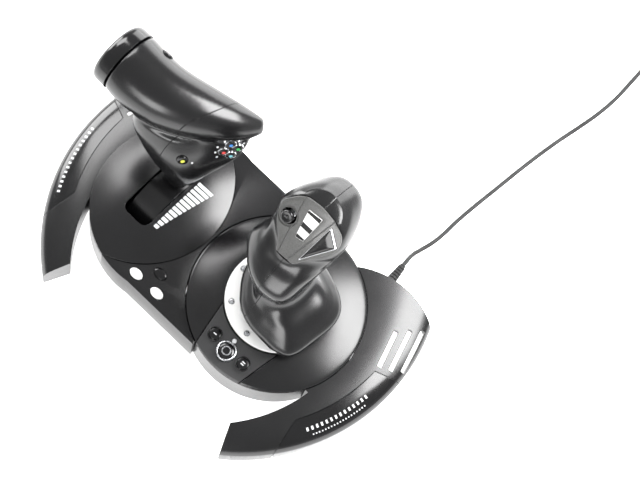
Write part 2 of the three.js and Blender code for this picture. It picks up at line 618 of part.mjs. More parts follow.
function addThrottleBase() {
  const brackets = [[-102, -98.3], [-66.7, -63]].map(([x0, x1]) => {
    const post = join(box(x0, x1, -8, 8, 3, LEVER.z), rod([x0, 0, LEVER.z], [x1, 0, LEVER.z], 7, 20));
    return post;
  });
  const axleHole = rod([-105, 0, LEVER.z], [-60, 0, LEVER.z], 3.3, 20);
  const plate = consoleOutline(WALL + GAP, FOOT_HEIGHT + GAP, FLOOR_TOP);
  const window = box(LEVER.x - 14, LEVER.x + 14, -30, 30, FLOOR_TOP - 1.2, 30);
  add('throttle_base_plate', cut(join(plate, ...brackets), axleHole, window), SATIN_BLACK);

  const body = consoleOutline(0, 1.8, DECK_TOP);
  const deckHollow = cut(consoleOutline(WALL, 0, DECK_TOP - 2.5), lens(-3, -1, 60));
  const lowHollow = consoleOutline(WALL, 0, WALL_TOP - 2);
  const seat = lens(-GAP, WALL_TOP, 60);
  const opening = lens(6.5, 20, 60);
  const holes = DECK_BUTTONS.map((b) => ovalPrism(b.x, b.y, 13.8, 9.2, 30, 50));
  const switchSlot = box(-6.5, 6.5, 70, 90, 20, 26);
  add('throttle_shell', cut(body, deckHollow, lowHollow, seat, opening, switchSlot, ...holes), SATIN_BLACK);

  for (const button of DECK_BUTTONS) {
    const cap = ovalPrism(button.x, button.y, 13, 8.4, 38, DECK_TOP + 1.1);
    add(button.name, join(cap, disc(button.x, button.y, 32, 39, 2.5)), button.material);
  }
  add('mode_switch', box(-3, 3, 75, 81, 20.4, 25.6), SATIN_BLACK);
  add('throttle_sensor', box(-62.4, -54.5, -8, 8, FLOOR_TOP + GAP, 20), BOARD_GREEN);
}

function addThrottleDome() {
  const crown = (drop) => {
    const rise = 10.2;
    const [halfWidth, halfLength] = [58, 77];
    const profile = Array.from({ length: 7 }, (_, i) => {
      const r = 1.2 * (6 - i) / 6;
      return new THREE.Vector2(r, 42.3 - drop + rise * (1 - r * r));
    });
    const geometry = new THREE.LatheGeometry([new THREE.Vector2(0, 0), new THREE.Vector2(1.2, 0), ...profile], 40);
    geometry.rotateX(Math.PI / 2);
    geometry.scale(halfWidth, halfLength, 1);
    geometry.translate(-81.7, 0, 0);
    return toSolid(geometry);
  };
  const body = lens(0.1, WALL_TOP + GAP, 60).intersect(crown(0));
  const hollow = lens(2.6, 20, 60).intersect(crown(2.4));
  const slot = roundedPlate(
    LEVER.x - SLOT.halfWidth, LEVER.x + SLOT.halfWidth, SLOT.front, SLOT.back, SLOT.corner, 30, 60,
  );
  add('throttle_dome', cut(body, hollow, slot), SATIN_BLACK);
}

// ---- Throttle unit: lever and handle ------------------------------------------------------------
function addLever() {
  const [x0, x1] = [LEVER.x - LEVER.width / 2, LEVER.x + LEVER.width / 2];
  const drumOuter = rod([x0, 0, LEVER.z], [x1, 0, LEVER.z], LEVER.drum, 60);
  const drumInner = rod([x0 - 1, 0, LEVER.z], [x1 + 1, 0, LEVER.z], LEVER.drum - 2.2, 60);
  const wedge = new THREE.Shape([new THREE.Vector2(0, 0)]);
  wedge.absarc(0, 0, 60, THREE.MathUtils.degToRad(26), THREE.MathUtils.degToRad(154));
  const sector = new THREE.ExtrudeGeometry(wedge, { depth: 40, bevelEnabled: false, curveSegments: 6 });
  sector.rotateY(Math.PI / 2);
  sector.rotateX(Math.PI / 2);
  sector.translate(x0 - 5, 0, LEVER.z);
  const shutter = cut(drumOuter, drumInner).intersect(toSolid(sector));
  const hub = rod([x0 + 3, 0, LEVER.z], [x1 - 3, 0, LEVER.z], 7, 20);
  const web = box(LEVER.x - 8, LEVER.x + 8, -5, 5, LEVER.z, LEVER.z + LEVER.drum - 1);
  const stem = box(LEVER.x - 6.5, LEVER.x + 6.5, -4.5, 4.5, LEVER.z + LEVER.drum - 2, LEVER.z + 84);
  const bore = rod([x0 - 5, 0, LEVER.z], [x1 + 5, 0, LEVER.z], 3.3, 20);
  const upright = cut(join(hub, web, stem, shutter), bore);
  add('throttle_lever', turnAboutX(upright, 0, LEVER.z, -LEVER.restAngle), SATIN_BLACK);
  add('throttle_axle', rod([-102, 0, LEVER.z], [-63, 0, LEVER.z], 3, 20), STEEL);
}

// Stations along the handle's upper tube: centre, heading in plan and the half sizes across and up.
const TUBE_STATIONS = [
  { centre: [-162, 35, 148], heading: 0, half: [30, 26] },
  { centre: [-150, 34, 147.5], heading: 1, half: [30, 26] },
  { centre: [-136, 34.5, 146.5], heading: 4, half: [29.5, 25.5] },
  { centre: [-120, 37, 145], heading: 12, half: [28.5, 25] },
  { centre: [-104, 43, 142.5], heading: 20, half: [26.5, 24] },
  { centre: [-89, 50.5, 139.5], heading: 26, half: [24, 22.5] },
  { centre: [-76, 58, 136.5], heading: 30, half: [21, 20] },
  { centre: [-64, 66, 133.5], heading: 33, half: [17, 17] },
  { centre: [-54, 74, 131], heading: 36, half: [12, 12] },
  { centre: [-47.5, 80, 129.5], heading: 38, half: [6, 6] },
];

function stationRing({ centre, heading, half }, inset, count = 20) {
  const turn = THREE.MathUtils.degToRad(heading);
  return Array.from({ length: count }, (_, i) => {
    const angle = i * 2 * Math.PI / count;
    const across = Math.max(half[0] - inset, 0.6) * Math.cos(angle);
    const up = Math.max(half[1] - inset, 0.6) * Math.sin(angle);
    const [x, y] = [centre[0] - across * Math.sin(turn), centre[1] + across * Math.cos(turn)];
    return new THREE.Vector3(x, y, centre[2] + up);
  });
}

// Level sections of the handle's lower body, from the neck in the slot up into the tube.
const BODY_SECTIONS = [
  {
    z: 53, middle: [-82, 17],
    outline: [[-93, 11], [-82, 9], [-71, 11], [-70, 18], [-72, 25], [-82, 27], [-92, 25], [-94, 18]],
  },
  {
    z: 64, middle: [-82, 20],
    outline: [[-95, 11], [-82, 8], [-70, 11], [-67.5, 21], [-71, 31], [-82, 35], [-94, 32], [-98, 21]],
  },
  {
    z: 78, middle: [-83, 24],
    outline: [[-102, 8], [-84, 5], [-68, 11], [-60, 26], [-64, 40], [-82, 46], [-102, 42], [-110, 24]],
  },
  {
    z: 92, middle: [-86, 30],
    outline: [[-109, 5], [-86, 3], [-68, 10], [-57, 30], [-52, 48], [-66, 56], [-92, 56], [-117, 46], [-122, 24]],
  },
  {
    z: 106, middle: [-88, 34],
    outline: [[-117, 4], [-90, 3], [-70, 12], [-56, 34], [-47, 58], [-60, 66], [-92, 62], [-125, 52], [-133, 26]],
  },
  {
    z: 120, middle: [-90, 36],
    outline: [[-126, 5], [-94, 6], [-75, 16], [-59, 40], [-47, 67], [-60, 72], [-95, 62], [-130, 54], [-140, 28]],
  },
  {
    z: 133, middle: [-90, 38],
    outline: [[-128, 9], [-99, 12], [-80, 24], [-64, 46], [-49, 71], [-58, 72], [-90, 60], [-130, 52], [-140, 30]],
  },
];

function handleForm(inset) {
  const tubeBody = loft(TUBE_STATIONS.map((station) => stationRing(station, inset)));
  const lower = loft(BODY_SECTIONS.map((section) => outlineRing(section, inset, 22)));
  return join(tubeBody, lower);
}

function palmRegion(margin) {
  return prism([
    [-250, -60], [-94 + margin, -60], [-92.5 + margin, 8], [-88.8 + margin, 26], [-81 + margin, 46],
    [-73 + margin, 76], [-70 + margin, 120], [-250, 120],
  ], 113 - margin, 220);
}

function headingNormal(across, out, up) {
  return new THREE.Vector3(across, out, up).normalize();
}

function addHandleButtons(form) {
  const aim = headingNormal(0.74, -0.62, 0.26);
  const right = new THREE.Vector3(0.64, 0.77, 0).normalize();
  const upward = new THREE.Vector3().crossVectors(right, aim).negate();
  const clusterCentre = new THREE.Vector3(-58, 53, 118);
  const place = (centre, across, up) => {
    const target = centre.clone().addScaledVector(right, across).addScaledVector(upward, up);
    const seat = seatOn(form, target.clone().addScaledVector(aim, 80).toArray(), target.toArray());
    return { point: seat.point, normal: aim.clone() };
  };
  const layout = [
    { name: 'thumb_button_top', at: place(clusterCentre, 0, 6.4), radius: 3.9 },
    { name: 'thumb_button_bottom', at: place(clusterCentre, 0, -6.4), radius: 3.9 },
    { name: 'thumb_button_left', at: place(clusterCentre, -6.4, 0), radius: 3.9 },
    { name: 'thumb_button_right', at: place(clusterCentre, 6.4, 0), radius: 3.9 },
    { name: 'thumb_button_lower', at: place(new THREE.Vector3(-80, 17, 116), 0, 0), radius: 4.6 },
  ];
  const rear = seatOn(form, [-141, 120, 190], [-141, 40, 150]);
  const rearAt = { point: rear.point, normal: headingNormal(0, 0.85, 0.5) };
  layout.push({ name: 'rear_button', at: rearAt, radius: 5 });
  for (const button of layout) {
    const finish = button.name === 'rear_button' ? SATIN_BLACK : GLOSS_BLACK;
    add(button.name, pegOn(button.at, 7, 1.6, button.radius), finish);
  }
  return layout.map((button) => pegOn(button.at, 12, 6, button.radius + 0.4));
}

const ROCKER = { x: -112, y: 62, z: 132, half: 17 };

function addRocker() {
  const face = new THREE.Shape();
  face.moveTo(-ROCKER.half, -3);
  face.quadraticCurveTo(0, -6, ROCKER.half, -3);
  face.lineTo(ROCKER.half, 1);
  face.quadraticCurveTo(0, 3.5, -ROCKER.half, 1);
  face.closePath();
  const geometry = new THREE.ExtrudeGeometry(face, { depth: 12, bevelEnabled: false, curveSegments: 10 });
  geometry.rotateZ(THREE.MathUtils.degToRad(14));
  geometry.translate(ROCKER.x, ROCKER.y, ROCKER.z - 6);
  add('rudder_rocker', toSolid(geometry), SATIN_BLACK);
}

function rockerWindow() {
  const geometry = new THREE.BoxGeometry(2 * ROCKER.half + 3, 26, 13);
  geometry.rotateZ(THREE.MathUtils.degToRad(14));
  geometry.translate(ROCKER.x, ROCKER.y - 3, ROCKER.z);
  return toSolid(geometry);
}

function addHandle() {
  const form = handleForm(0);
  const holes = addHandleButtons(form);
  const shell = cut(form, handleForm(2.5), ...holes, rockerWindow());
  add('handle_palm_shell', shell.intersect(palmRegion(0)), SATIN_BLACK);
  const neckWell = turnAboutX(
    box(LEVER.x - 7, LEVER.x + 7, -5, 5, LEVER.z + 36, LEVER.z + 90), 0, LEVER.z, -LEVER.restAngle,
  );
  add('handle_thumb_shell', cut(shell, palmRegion(GAP), neckWell), SATIN_BLACK);
  addRocker();

  const first = TUBE_STATIONS[0];
  const capRing = ([x, shrink]) => {
    const centre = [x, first.centre[1], first.centre[2]];
    return stationRing({ ...first, centre, half: first.half.map((h) => h - shrink) }, 0);
  };
  const cap = loft([[-178.5, 14], [-177.8, 6], [-176, 2], [-173, 0.4], [-162.3, 0]].map(capRing));
  const capHollow = loft([[-173.5, 6], [-162, 3]].map(capRing));
  add('handle_end_cap', cut(cap, capHollow), GLOSS_BLACK);
}

// ---- Feet and lead ------------------------------------------------------------------------------
function addFeet() {
  add('stick_foot_ring', ring(STICK_X, 0, 0, FOOT_HEIGHT, FOOT.inner, FOOT.outer, 32), RUBBER);
  add('throttle_foot_ring', ring(THROTTLE_X, 0, 0, FOOT_HEIGHT, FOOT.inner, FOOT.outer, 32), RUBBER);
}

function addLead() {
  const boot = rod(alongRelief(-7), alongRelief(22), 4.6, 16, 2.9);
  const flange = rod(alongRelief(-7), alongRelief(-5), 7.5, 16);
  add('strain_relief', join(boot, flange), RUBBER);

  const floorZ = CORD.radius + 0.1;
  const route = [
    alongRelief(22 + GAP), alongRelief(27), [112.2, 126, 9.5], [112.3, 133, 5.2], [114, 141, 2.8],
    [116.5, 151, floorZ],
    [118.4, 163, floorZ], [119.3, 187, floorZ], [121.6, 213, floorZ], [124.1, 235, floorZ], [127, 262, floorZ],
    [130.6, 290, floorZ], [134.8, 316, floorZ], [139.2, 338, floorZ], [142.8, 358, floorZ], [145, 377, floorZ],
    [145.6, 394, floorZ], [145, 411, floorZ], [144.4, 427, floorZ],
  ].map((point) => new THREE.Vector3(...point));
  add('cable', tube(route, CORD.radius, 8, 50), RUBBER);
  const { coilX, coilY, coilInner, coilOuter, coilHeight } = CORD;
  add('cable_coil', ring(coilX, coilY, 0.1, coilHeight, coilInner, coilOuter, 32), RUBBER);
  const band = box(coilX + coilInner - 1.6, coilX + coilOuter + 1.6, coilY - 3, coilY + 3, 0.1, coilHeight + 1.4);
  const [bandFrom, bandTo] = [coilX + coilInner - GAP, coilX + coilOuter + GAP];
  const bandInside = box(bandFrom, bandTo, coilY - 4, coilY + 4, 0, coilHeight + GAP);
  add('cable_tie', cut(band, bandInside), SATIN_BLACK);
  const plugY = coilY + coilOuter + 9.3;
  const plugBody = box(coilX - 20, coilX + 14, plugY - 8, plugY + 8, 0.1, 8.1);
  const plugShell = box(coilX + 14, coilX + 30, plugY - 6, plugY + 6, 1.8, 6.4);
  add('usb_plug', join(plugBody, plugShell), SATIN_BLACK);
}

addStickBase();
addControlPanel();
addCollar();
addGimbal();
addBoot();
addGripHead();
addGripShells();
addTrigger();
addWings();
addThrottleBase();
addThrottleDome();
addLever();
addHandle();
addFeet();
addLead();

export default model;
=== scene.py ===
"""Looks for the two-part flight joystick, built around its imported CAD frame."""
import json
import math

import bmesh
import bpy
from mathutils import Matrix, Vector
from mathutils.bvhtree import BVHTree


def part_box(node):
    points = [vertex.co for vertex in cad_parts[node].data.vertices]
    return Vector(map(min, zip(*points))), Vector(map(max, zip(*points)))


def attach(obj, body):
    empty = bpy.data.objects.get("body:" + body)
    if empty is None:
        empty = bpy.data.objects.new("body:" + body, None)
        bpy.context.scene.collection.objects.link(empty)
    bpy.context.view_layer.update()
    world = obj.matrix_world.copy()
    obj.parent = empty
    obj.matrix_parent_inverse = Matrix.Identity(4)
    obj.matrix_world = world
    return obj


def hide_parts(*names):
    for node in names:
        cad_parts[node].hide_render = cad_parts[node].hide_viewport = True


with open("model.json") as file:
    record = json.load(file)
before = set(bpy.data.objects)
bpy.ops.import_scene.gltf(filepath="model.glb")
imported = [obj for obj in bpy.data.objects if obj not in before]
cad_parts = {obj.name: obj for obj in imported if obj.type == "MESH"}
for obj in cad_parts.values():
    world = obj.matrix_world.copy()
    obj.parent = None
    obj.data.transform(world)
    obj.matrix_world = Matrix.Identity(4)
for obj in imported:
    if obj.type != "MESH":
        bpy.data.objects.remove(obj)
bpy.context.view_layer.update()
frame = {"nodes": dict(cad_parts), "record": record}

# ---- Driving dimensions, in millimetres, in the plan frame whose middle is between the two round bases ----
MM = 0.001
PLAN_SHIFT = 16.2
STICK_X = 59.5
THROTTLE_X = -59.5
BASE_RADIUS = 80
WALL_TOP = 39
GIMBAL_Z = 25
GAP = 0.3
SEAM_X = STICK_X - 8
SEAM_HALF = 0.2
PANEL = {"foot_y": -2, "foot_z": 172, "slope": math.radians(45.7), "thickness": 2}
LEVER_X = -82.5
LEVER_Z = 12
LEVER_REST = math.radians(-21.5)
SHUTTER = {"radius": 38, "width": 26, "start": 4.5, "end": 148}


def row(x, y, z):
    """A plan point in millimetres as a point of the shared frame in metres."""
    return Vector((x * MM, (y + PLAN_SHIFT) * MM, z * MM))


# ---- Camera ----
VIEW = {
    "place": (0.22436, -0.38317, 1.56303),
    "azimuth": 20.79, "elevation": 71.77, "roll": 23.51, "lens": 101.25,
}


def new_object(name, data):
    thing = bpy.data.objects.new(name, data)
    bpy.context.scene.collection.objects.link(thing)
    return thing


def add_camera():
    azimuth, elevation, roll = (math.radians(VIEW[name]) for name in ("azimuth", "elevation", "roll"))
    right = Vector((math.cos(azimuth), math.sin(azimuth), 0))
    up = Vector((-math.sin(azimuth), math.cos(azimuth), 0)) * math.sin(elevation)
    up.z = math.cos(elevation)
    back = right.cross(up)
    rolled_right = right * math.cos(roll) + up * math.sin(roll)
    rolled_up = up * math.cos(roll) - right * math.sin(roll)
    data = bpy.data.cameras.new("view")
    data.lens = VIEW["lens"]
    data.sensor_width = 36
    data.clip_end = 20
    camera = new_object("view", data)
    axes = Matrix((rolled_right, rolled_up, back)).transposed()
    camera.matrix_world = Matrix.Translation(VIEW["place"]) @ axes.to_4x4()
    bpy.context.scene.camera = camera


add_camera()


# ---- Materials ----
class Shader:
    """A Principled material with a few helpers for procedural detail."""

    def __init__(self, name, roughness=0.5, metallic=0.0, specular=0.5, coat=0.0):
        self.material = bpy.data.materials.new(name)
        self.material.use_nodes = True
        self.tree = self.material.node_tree
        self.surface = self.tree.nodes["Principled BSDF"]
        self.set("Roughness", roughness)
        self.set("Metallic", metallic)
        self.set("Specular IOR Level", specular)
        if coat:
            self.set("Coat Weight", coat)
            self.set("Coat Roughness", 0.06)
        self.coordinates = self.tree.nodes.new("ShaderNodeTexCoord")

    def set(self, socket, value):
        self.surface.inputs[socket].default_value = value

    def node(self, kind, **settings):
        node = self.tree.nodes.new(kind)
        for key, value in settings.items():
            if key in node.inputs:
                node.inputs[key].default_value = value
            else:
                setattr(node, key, value)
        return node

    def link(self, source, target):
        self.tree.links.new(source, target)

    def noise(self, scale, detail=3.0, roughness=0.55):
        noise = self.node("ShaderNodeTexNoise", Scale=scale, Detail=detail, Roughness=roughness)
        self.link(self.coordinates.outputs["Object"], noise.inputs["Vector"])
        return noise.outputs["Fac"]

    def spread(self, source, low, high, start=0.3, end=0.7):
        """Maps a grey value onto low to high."""
        limits = {"From Min": start, "From Max": end, "To Min": low, "To Max": high}
        remap = self.node("ShaderNodeMapRange", **limits)
        self.link(source, remap.inputs["Value"])
        return remap.outputs["Result"]

    def tint(self, source, dark, light):
        ramp = self.node("ShaderNodeValToRGB")
        ramp.color_ramp.elements[0].color = (*dark, 1)
        ramp.color_ramp.elements[0].position = 0.3
        ramp.color_ramp.elements[1].color = (*light, 1)
        ramp.color_ramp.elements[1].position = 0.7
        self.link(source, ramp.inputs["Fac"])
        self.link(ramp.outputs["Color"], self.surface.inputs["Base Color"])

    def relief(self, source, depth, edge_radius):
        """Fine surface relief over softly rounded edges."""
        edge = self.node("ShaderNodeBevel", samples=6, Radius=edge_radius)
        bump = self.node("ShaderNodeBump", Strength=1.0, Distance=depth)
        self.link(source, bump.inputs["Height"])
        self.link(edge.outputs["Normal"], bump.inputs["Normal"])
        self.link(bump.outputs["Normal"], self.surface.inputs["Normal"])


def moulded(name, dark, light, rough, grain_depth, grain_scale=1900, edge=0.0005, **options):
    """Moulded plastic: a fine grain, faintly cloudy gloss and slightly uneven colour."""
    shader = Shader(name, roughness=rough[0], **options)
    shader.tint(shader.noise(24, 2), dark, light)
    shader.link(shader.spread(shader.noise(40, 2), *rough), shader.surface.inputs["Roughness"])
    shader.relief(shader.noise(grain_scale, 2), grain_depth, edge)
    return shader.material


def metal(name, dark, light, rough, grain_depth=0.00001, grain_scale=1400):
    shader = Shader(name, roughness=rough[0], metallic=1.0)
    shader.tint(shader.noise(160, 4), dark, light)
    shader.link(shader.spread(shader.noise(420, 4), *rough), shader.surface.inputs["Roughness"])
    shader.relief(shader.noise(grain_scale, 2), grain_depth, 0.0003)
    return shader.material


def flake_paint(name):
    """Grey metallic paint: small bright flakes in a darker coat."""
    shader = Shader(name, roughness=0.34, metallic=0.45, coat=0.25)
    flakes = shader.node("ShaderNodeTexVoronoi", Scale=2600)
    shader.link(shader.coordinates.outputs["Object"], flakes.inputs["Vector"])
    shader.tint(flakes.outputs["Distance"], (0.11, 0.11, 0.107), (0.05, 0.05, 0.049))
    shader.link(shader.spread(shader.noise(300, 4), 0.3, 0.42), shader.surface.inputs["Roughness"])
    shader.relief(flakes.outputs["Distance"], 0.000012, 0.0004)
    return shader.material


def printed(name, dark, light, rough=(0.45, 0.6)):
    """Pad-printed ink with a slightly uneven film."""
    return moulded(name, dark, light, rough, 0.00001, 2600, 0.0001)


PLASTICS = {
    "satin_black": ((0.004, 0.004, 0.0043), (0.006, 0.006, 0.0065), (0.22, 0.25), 0.000006),
    "gloss_black": ((0.003, 0.003, 0.0033), (0.005, 0.005, 0.0055), (0.12, 0.16), 0.000002, 700),
    "white_plastic": ((0.8, 0.8, 0.79), (0.88, 0.88, 0.87), (0.3, 0.42), 0.00001),
    "rubber": ((0.009, 0.009, 0.009), (0.016, 0.016, 0.017), (0.5, 0.7), 0.00003, 1500),
    "board_green": ((0.01, 0.1, 0.04), (0.03, 0.16, 0.07), (0.35, 0.5), 0.00002, 500),
}
METALS = {
    "steel": ((0.5, 0.51, 0.53), (0.66, 0.67, 0.69), (0.2, 0.34)),
    "chrome": ((0.7, 0.71, 0.73), (0.82, 0.83, 0.85), (0.05, 0.12), 0.000003),
}
MATERIALS = {"grey_panel": flake_paint("grey_panel")}
MATERIALS.update({name: moulded(name, *look) for name, look in PLASTICS.items()})
MATERIALS.update({name: metal(name, *look) for name, look in METALS.items()})
PANEL_BLACK = moulded("panel_black", (0.02, 0.02, 0.0205), (0.028, 0.028, 0.029), (0.38, 0.44), 0.00001)
PRINT_WHITE = printed("print_white", (0.55, 0.56, 0.57), (0.66, 0.67, 0.68))
PRINT_SILVER = printed("print_silver", (0.42, 0.43, 0.44), (0.55, 0.56, 0.57), (0.3, 0.42))
MARK_BLUE = printed("mark_blue", (0.03, 0.16, 0.5), (0.06, 0.26, 0.68))
MARK_GREEN = printed("mark_green", (0.03, 0.3, 0.07), (0.06, 0.44, 0.12))
MARK_RED = printed("mark_red", (0.5, 0.03, 0.03), (0.68, 0.06, 0.05))
MARK_TEAL = printed("mark_teal", (0.12, 0.35, 0.4), (0.2, 0.5, 0.55))
MARK_YELLOW = printed("mark_yellow", (0.5, 0.52, 0.05), (0.66, 0.68, 0.1))


# ---- Solids ----
WELD = 1e-7


def solid(name, points, faces, turned=False):
    """A mesh object from plan points in millimetres; a turned one also loses the slivers on its axis."""
    mesh = bpy.data.meshes.new(name)
    mesh.from_pydata([row(*p) for p in points], [], faces)
    shape = bmesh.new()
    shape.from_mesh(mesh)
    bmesh.ops.remove_doubles(shape, verts=shape.verts, dist=WELD)
    if turned:
        bmesh.ops.dissolve_degenerate(shape, edges=shape.edges, dist=WELD)
    bmesh.ops.recalc_face_normals(shape, faces=shape.faces)
    shape.to_mesh(mesh)
    shape.free()
    return new_object(name, mesh)


def combine(target, *tools, how="DIFFERENCE"):
    """Cuts, joins or intersects a solid with others, which are used up."""
    for tool in tools:
        step = target.modifiers.new("step", "BOOLEAN")
        step.object = tool
        step.operation = how
        step.solver = "MANIFOLD"
    bake(target)
    for tool in tools:
        bpy.data.objects.remove(tool)
    return target


def bake(thing):
    """Applies a solid's modifiers."""
    state = bpy.context.evaluated_depsgraph_get()
    mesh = bpy.data.meshes.new_from_object(thing.evaluated_get(state))
    thing.modifiers.clear()
    thing.data = mesh
    return thing


def apply(thing, kind, **settings):
    """Adds a modifier with its settings and applies it."""
    step = thing.modifiers.new("step", kind)
    for key, value in settings.items():
        setattr(step, key, value)
    return bake(thing)


def copy_of(thing):
    twin = thing.copy()
    twin.data = thing.data.copy()
    bpy.context.scene.collection.objects.link(twin)
    return twin


def loft(name, rings):
    count = len(rings[0])
    points = [p for ring in rings for p in ring]
    faces = [list(range(count)), list(range((len(rings) - 1) * count, len(rings) * count))]
    for k in range(len(rings) - 1):
        for i in range(count):
            a, b = k * count + i, k * count + (i + 1) % count
            faces.append([a, b, b + count, a + count])
    return solid(name, points, faces)


def lathe(name, profile, x, y, segments=160, matrix=None):
    """A turned solid from (radius, height) pairs that start and end on the axis or close on themselves."""
    closed = profile[0] == profile[-1]
    stops = profile[:-1] if closed else profile
    points, faces = [], []
    for r, z in stops:
        for i in range(segments):
            turn = 2 * math.pi * i / segments
            points.append((x + r * math.cos(turn), y + r * math.sin(turn), z))
    pairs = range(len(stops)) if closed else range(len(stops) - 1)
    for k in pairs:
        low, high = k * segments, (k + 1) % len(stops) * segments
        for i in range(segments):
            j = (i + 1) % segments
            faces.append([low + i, low + j, high + j, high + i])
    if matrix:
        points = [matrix @ Vector(p) for p in points]
    return solid(name, points, faces, turned=True)


def band(inner, outer, low, high):
    """A turned ring's square section, closed on itself."""
    return [(inner, low), (outer, low), (outer, high), (inner, high), (inner, low)]


def prism(name, outline, z0, z1, matrix=None):
    place = matrix or Matrix.Identity(4)
    rings = [[place @ Vector((x, y, z)) for x, y in outline] for z in (z0, z1)]
    return loft(name, rings)


def box(name, x0, x1, y0, y1, z0, z1, matrix=None):
    return prism(name, [(x0, y0), (x1, y0), (x1, y1), (x0, y1)], z0, z1, matrix)


def oval(x, y, length, width, count=64):
    turns = [2 * math.pi * i / count for i in range(count)]
    return [(x + length / 2 * math.cos(a), y + width / 2 * math.sin(a)) for a in turns]


def disc(name, x, y, z0, z1, radius, segments=128, matrix=None):
    return prism(name, oval(x, y, 2 * radius, 2 * radius, segments), z0, z1, matrix)


def along(origin, direction):
    """A frame whose z axis points along direction, as a matrix in plan millimetres."""
    turn = Vector((0, 0, 1)).rotation_difference(Vector(direction))
    return Matrix.Translation(origin) @ turn.to_matrix().to_4x4()


def smooth_curve(points, per_span=12, closed=True):
    """Centripetal curve through the points."""
    points = [Vector(p) for p in points]
    count = len(points)
    result = []
    for i in range(count if closed else count - 1):
        if closed:
            p = [points[(i + k - 1) % count] for k in range(4)]
        else:
            p = [points[min(max(i + k - 1, 0), count - 1)] for k in range(4)]
        gaps = [max((p[k + 1] - p[k]).length ** 0.5, 1e-6) for k in range(3)]
        start, end = slope(p[:3], gaps[:2], gaps[1]), slope(p[1:], gaps[1:], gaps[1])
        if not closed and i == 0:
            start = p[2] - p[1]
        if not closed and i == count - 2:
            end = p[2] - p[1]
        for step in range(per_span):
            result.append(hermite(p[1], p[2], start, end, step / per_span))
    if not closed:
        result.append(points[-1])
    return result


def slope(three, gaps, span):
    first, middle, last = three
    early, late = gaps
    return ((middle - first) / early - (last - first) / (early + late) + (last - middle) / late) * span


def hermite(a, b, start, end, t):
    square, cube = t * t, t * t * t
    return (a * (2 * cube - 3 * square + 1) + start * (cube - 2 * square + t)
            + b * (3 * square - 2 * cube) + end * (cube - square))


def flat_curve(points, per_span, closed=False):
    """A smooth curve through flat points, as pairs."""
    return [(p.x, p.y) for p in smooth_curve([(x, y, 0) for x, y in points], per_span, closed)]


def outline_ring(section, inset=0.0, count=112):
    """A smooth closed outline resampled at even angles about its middle, so that rings line up."""
    z, (cx, cy), corners = section
    dense = flat_curve(corners, 24, closed=True)
    polar = sorted((math.atan2(y - cy, x - cx), math.hypot(x - cx, y - cy)) for x, y in dense)
    ring = []
    at = 0
    for i in range(count):
        angle = -math.pi + (i + 0.5) * 2 * math.pi / count
        while at < len(polar) and polar[at][0] < angle:
            at += 1
        (a0, r0), (a1, r1) = polar[at - 1], polar[at % len(polar)]
        span = (a1 - a0) % (2 * math.pi)
        share = ((angle - a0) % (2 * math.pi)) / span if span else 0
        radius = r0 + (r1 - r0) * share - inset
        ring.append(Vector((cx + radius * math.cos(angle), cy + radius * math.sin(angle), z)))
    return ring


def smooth_rings(rings, per_span=6):
    """Adds rings between the given ones on curves through matching points."""
    columns = [smooth_curve(column, per_span, closed=False) for column in zip(*rings)]
    return [list(ring) for ring in zip(*columns)]


def soft_top(ring, rise, steps=4):
    """Rings that close the last ring with a low crown."""
    middle = sum(ring, Vector()) / len(ring)
    crown = []
    for k in range(1, steps + 1):
        angle = math.pi / 2 * k / steps
        shrink = 0.08 + 0.92 * math.cos(angle)
        crown.append([middle + (p - middle) * shrink + Vector((0, 0, rise * math.sin(angle))) for p in ring])
    return crown


def finish(thing, body, material, replaces=(), sharp=34):
    """Shades a piece and fits it to the frame."""
    thing.data.shade_smooth()
    thing.data.set_sharp_from_angle(angle=math.radians(sharp))
    thing.data.materials.clear()
    thing.data.materials.append(material)
    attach(thing, body)
    if replaces:
        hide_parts(*replaces)
    return thing


def fit(thing, body, slot, replaces=(), sharp=34):
    return finish(thing, body, MATERIALS[slot], replaces, sharp)


def edge_round(thing, width, segments=3, angle=40):
    """Rounds a simple solid's sharp edges."""
    limit = math.radians(angle)
    return apply(thing, "BEVEL", width=width * MM, segments=segments, limit_method="ANGLE", angle_limit=limit)


def node_centre(name):
    """The middle of a CAD node's box in plan millimetres."""
    low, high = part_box(name)
    middle = (low + high) / 2 / MM
    return Vector((middle.x, middle.y - PLAN_SHIFT, middle.z))


# ---- Lead: route, coil, plug and strain relief ----
CORD = {"radius": 2, "coil_x": 172, "coil_y": 452, "floor": 2.1, "outer_turn": 27, "pitch": 4.02}
RELIEF = Vector((115.2, 92.4, 15))
RELIEF_AIM = Vector((-0.09, 1, -0.06)).normalized()


def relief_point(distance):
    return RELIEF + RELIEF_AIM * distance


def coil_path():
    """Clockwise turns in stacked layers of three, each of which climbs a third of a turn earlier."""
    columns = [CORD["outer_turn"] - column * CORD["pitch"] for column in range(3)]
    window, full_angle, step = 60, 3600, 20
    stops = [(0, columns[0], 0)]
    angle, layers, turns_in_layer = 150, 4, 3
    for layer in range(layers):
        order = columns if layer % 2 == 0 else columns[::-1]
        for turn in range(1, turns_in_layer):
            stops.append((angle, order[turn - 1], layer))
            stops.append((angle + window, order[turn], layer))
            angle += 360
        if layer < layers - 1:
            stops.append((angle - window, order[-1], layer))
            stops.append((angle, order[-1], layer + 1))
            angle += 240
    stops.append((full_angle, *stops[-1][1:]))
    points = []
    for degrees in range(0, full_angle + 1, step):
        after = next(i for i, stop in enumerate(stops) if stop[0] >= degrees)
        before = max(after - 1, 0)
        span = stops[after][0] - stops[before][0]
        share = (degrees - stops[before][0]) / span if span else 0
        radius = stops[before][1] + (stops[after][1] - stops[before][1]) * share
        level = stops[before][2] + (stops[after][2] - stops[before][2]) * share
        turn = math.radians(180 - degrees)
        x, y = CORD["coil_x"] + radius * math.cos(turn), CORD["coil_y"] + radius * math.sin(turn)
        points.append((x, y, CORD["floor"] + level * CORD["pitch"]))
    return points


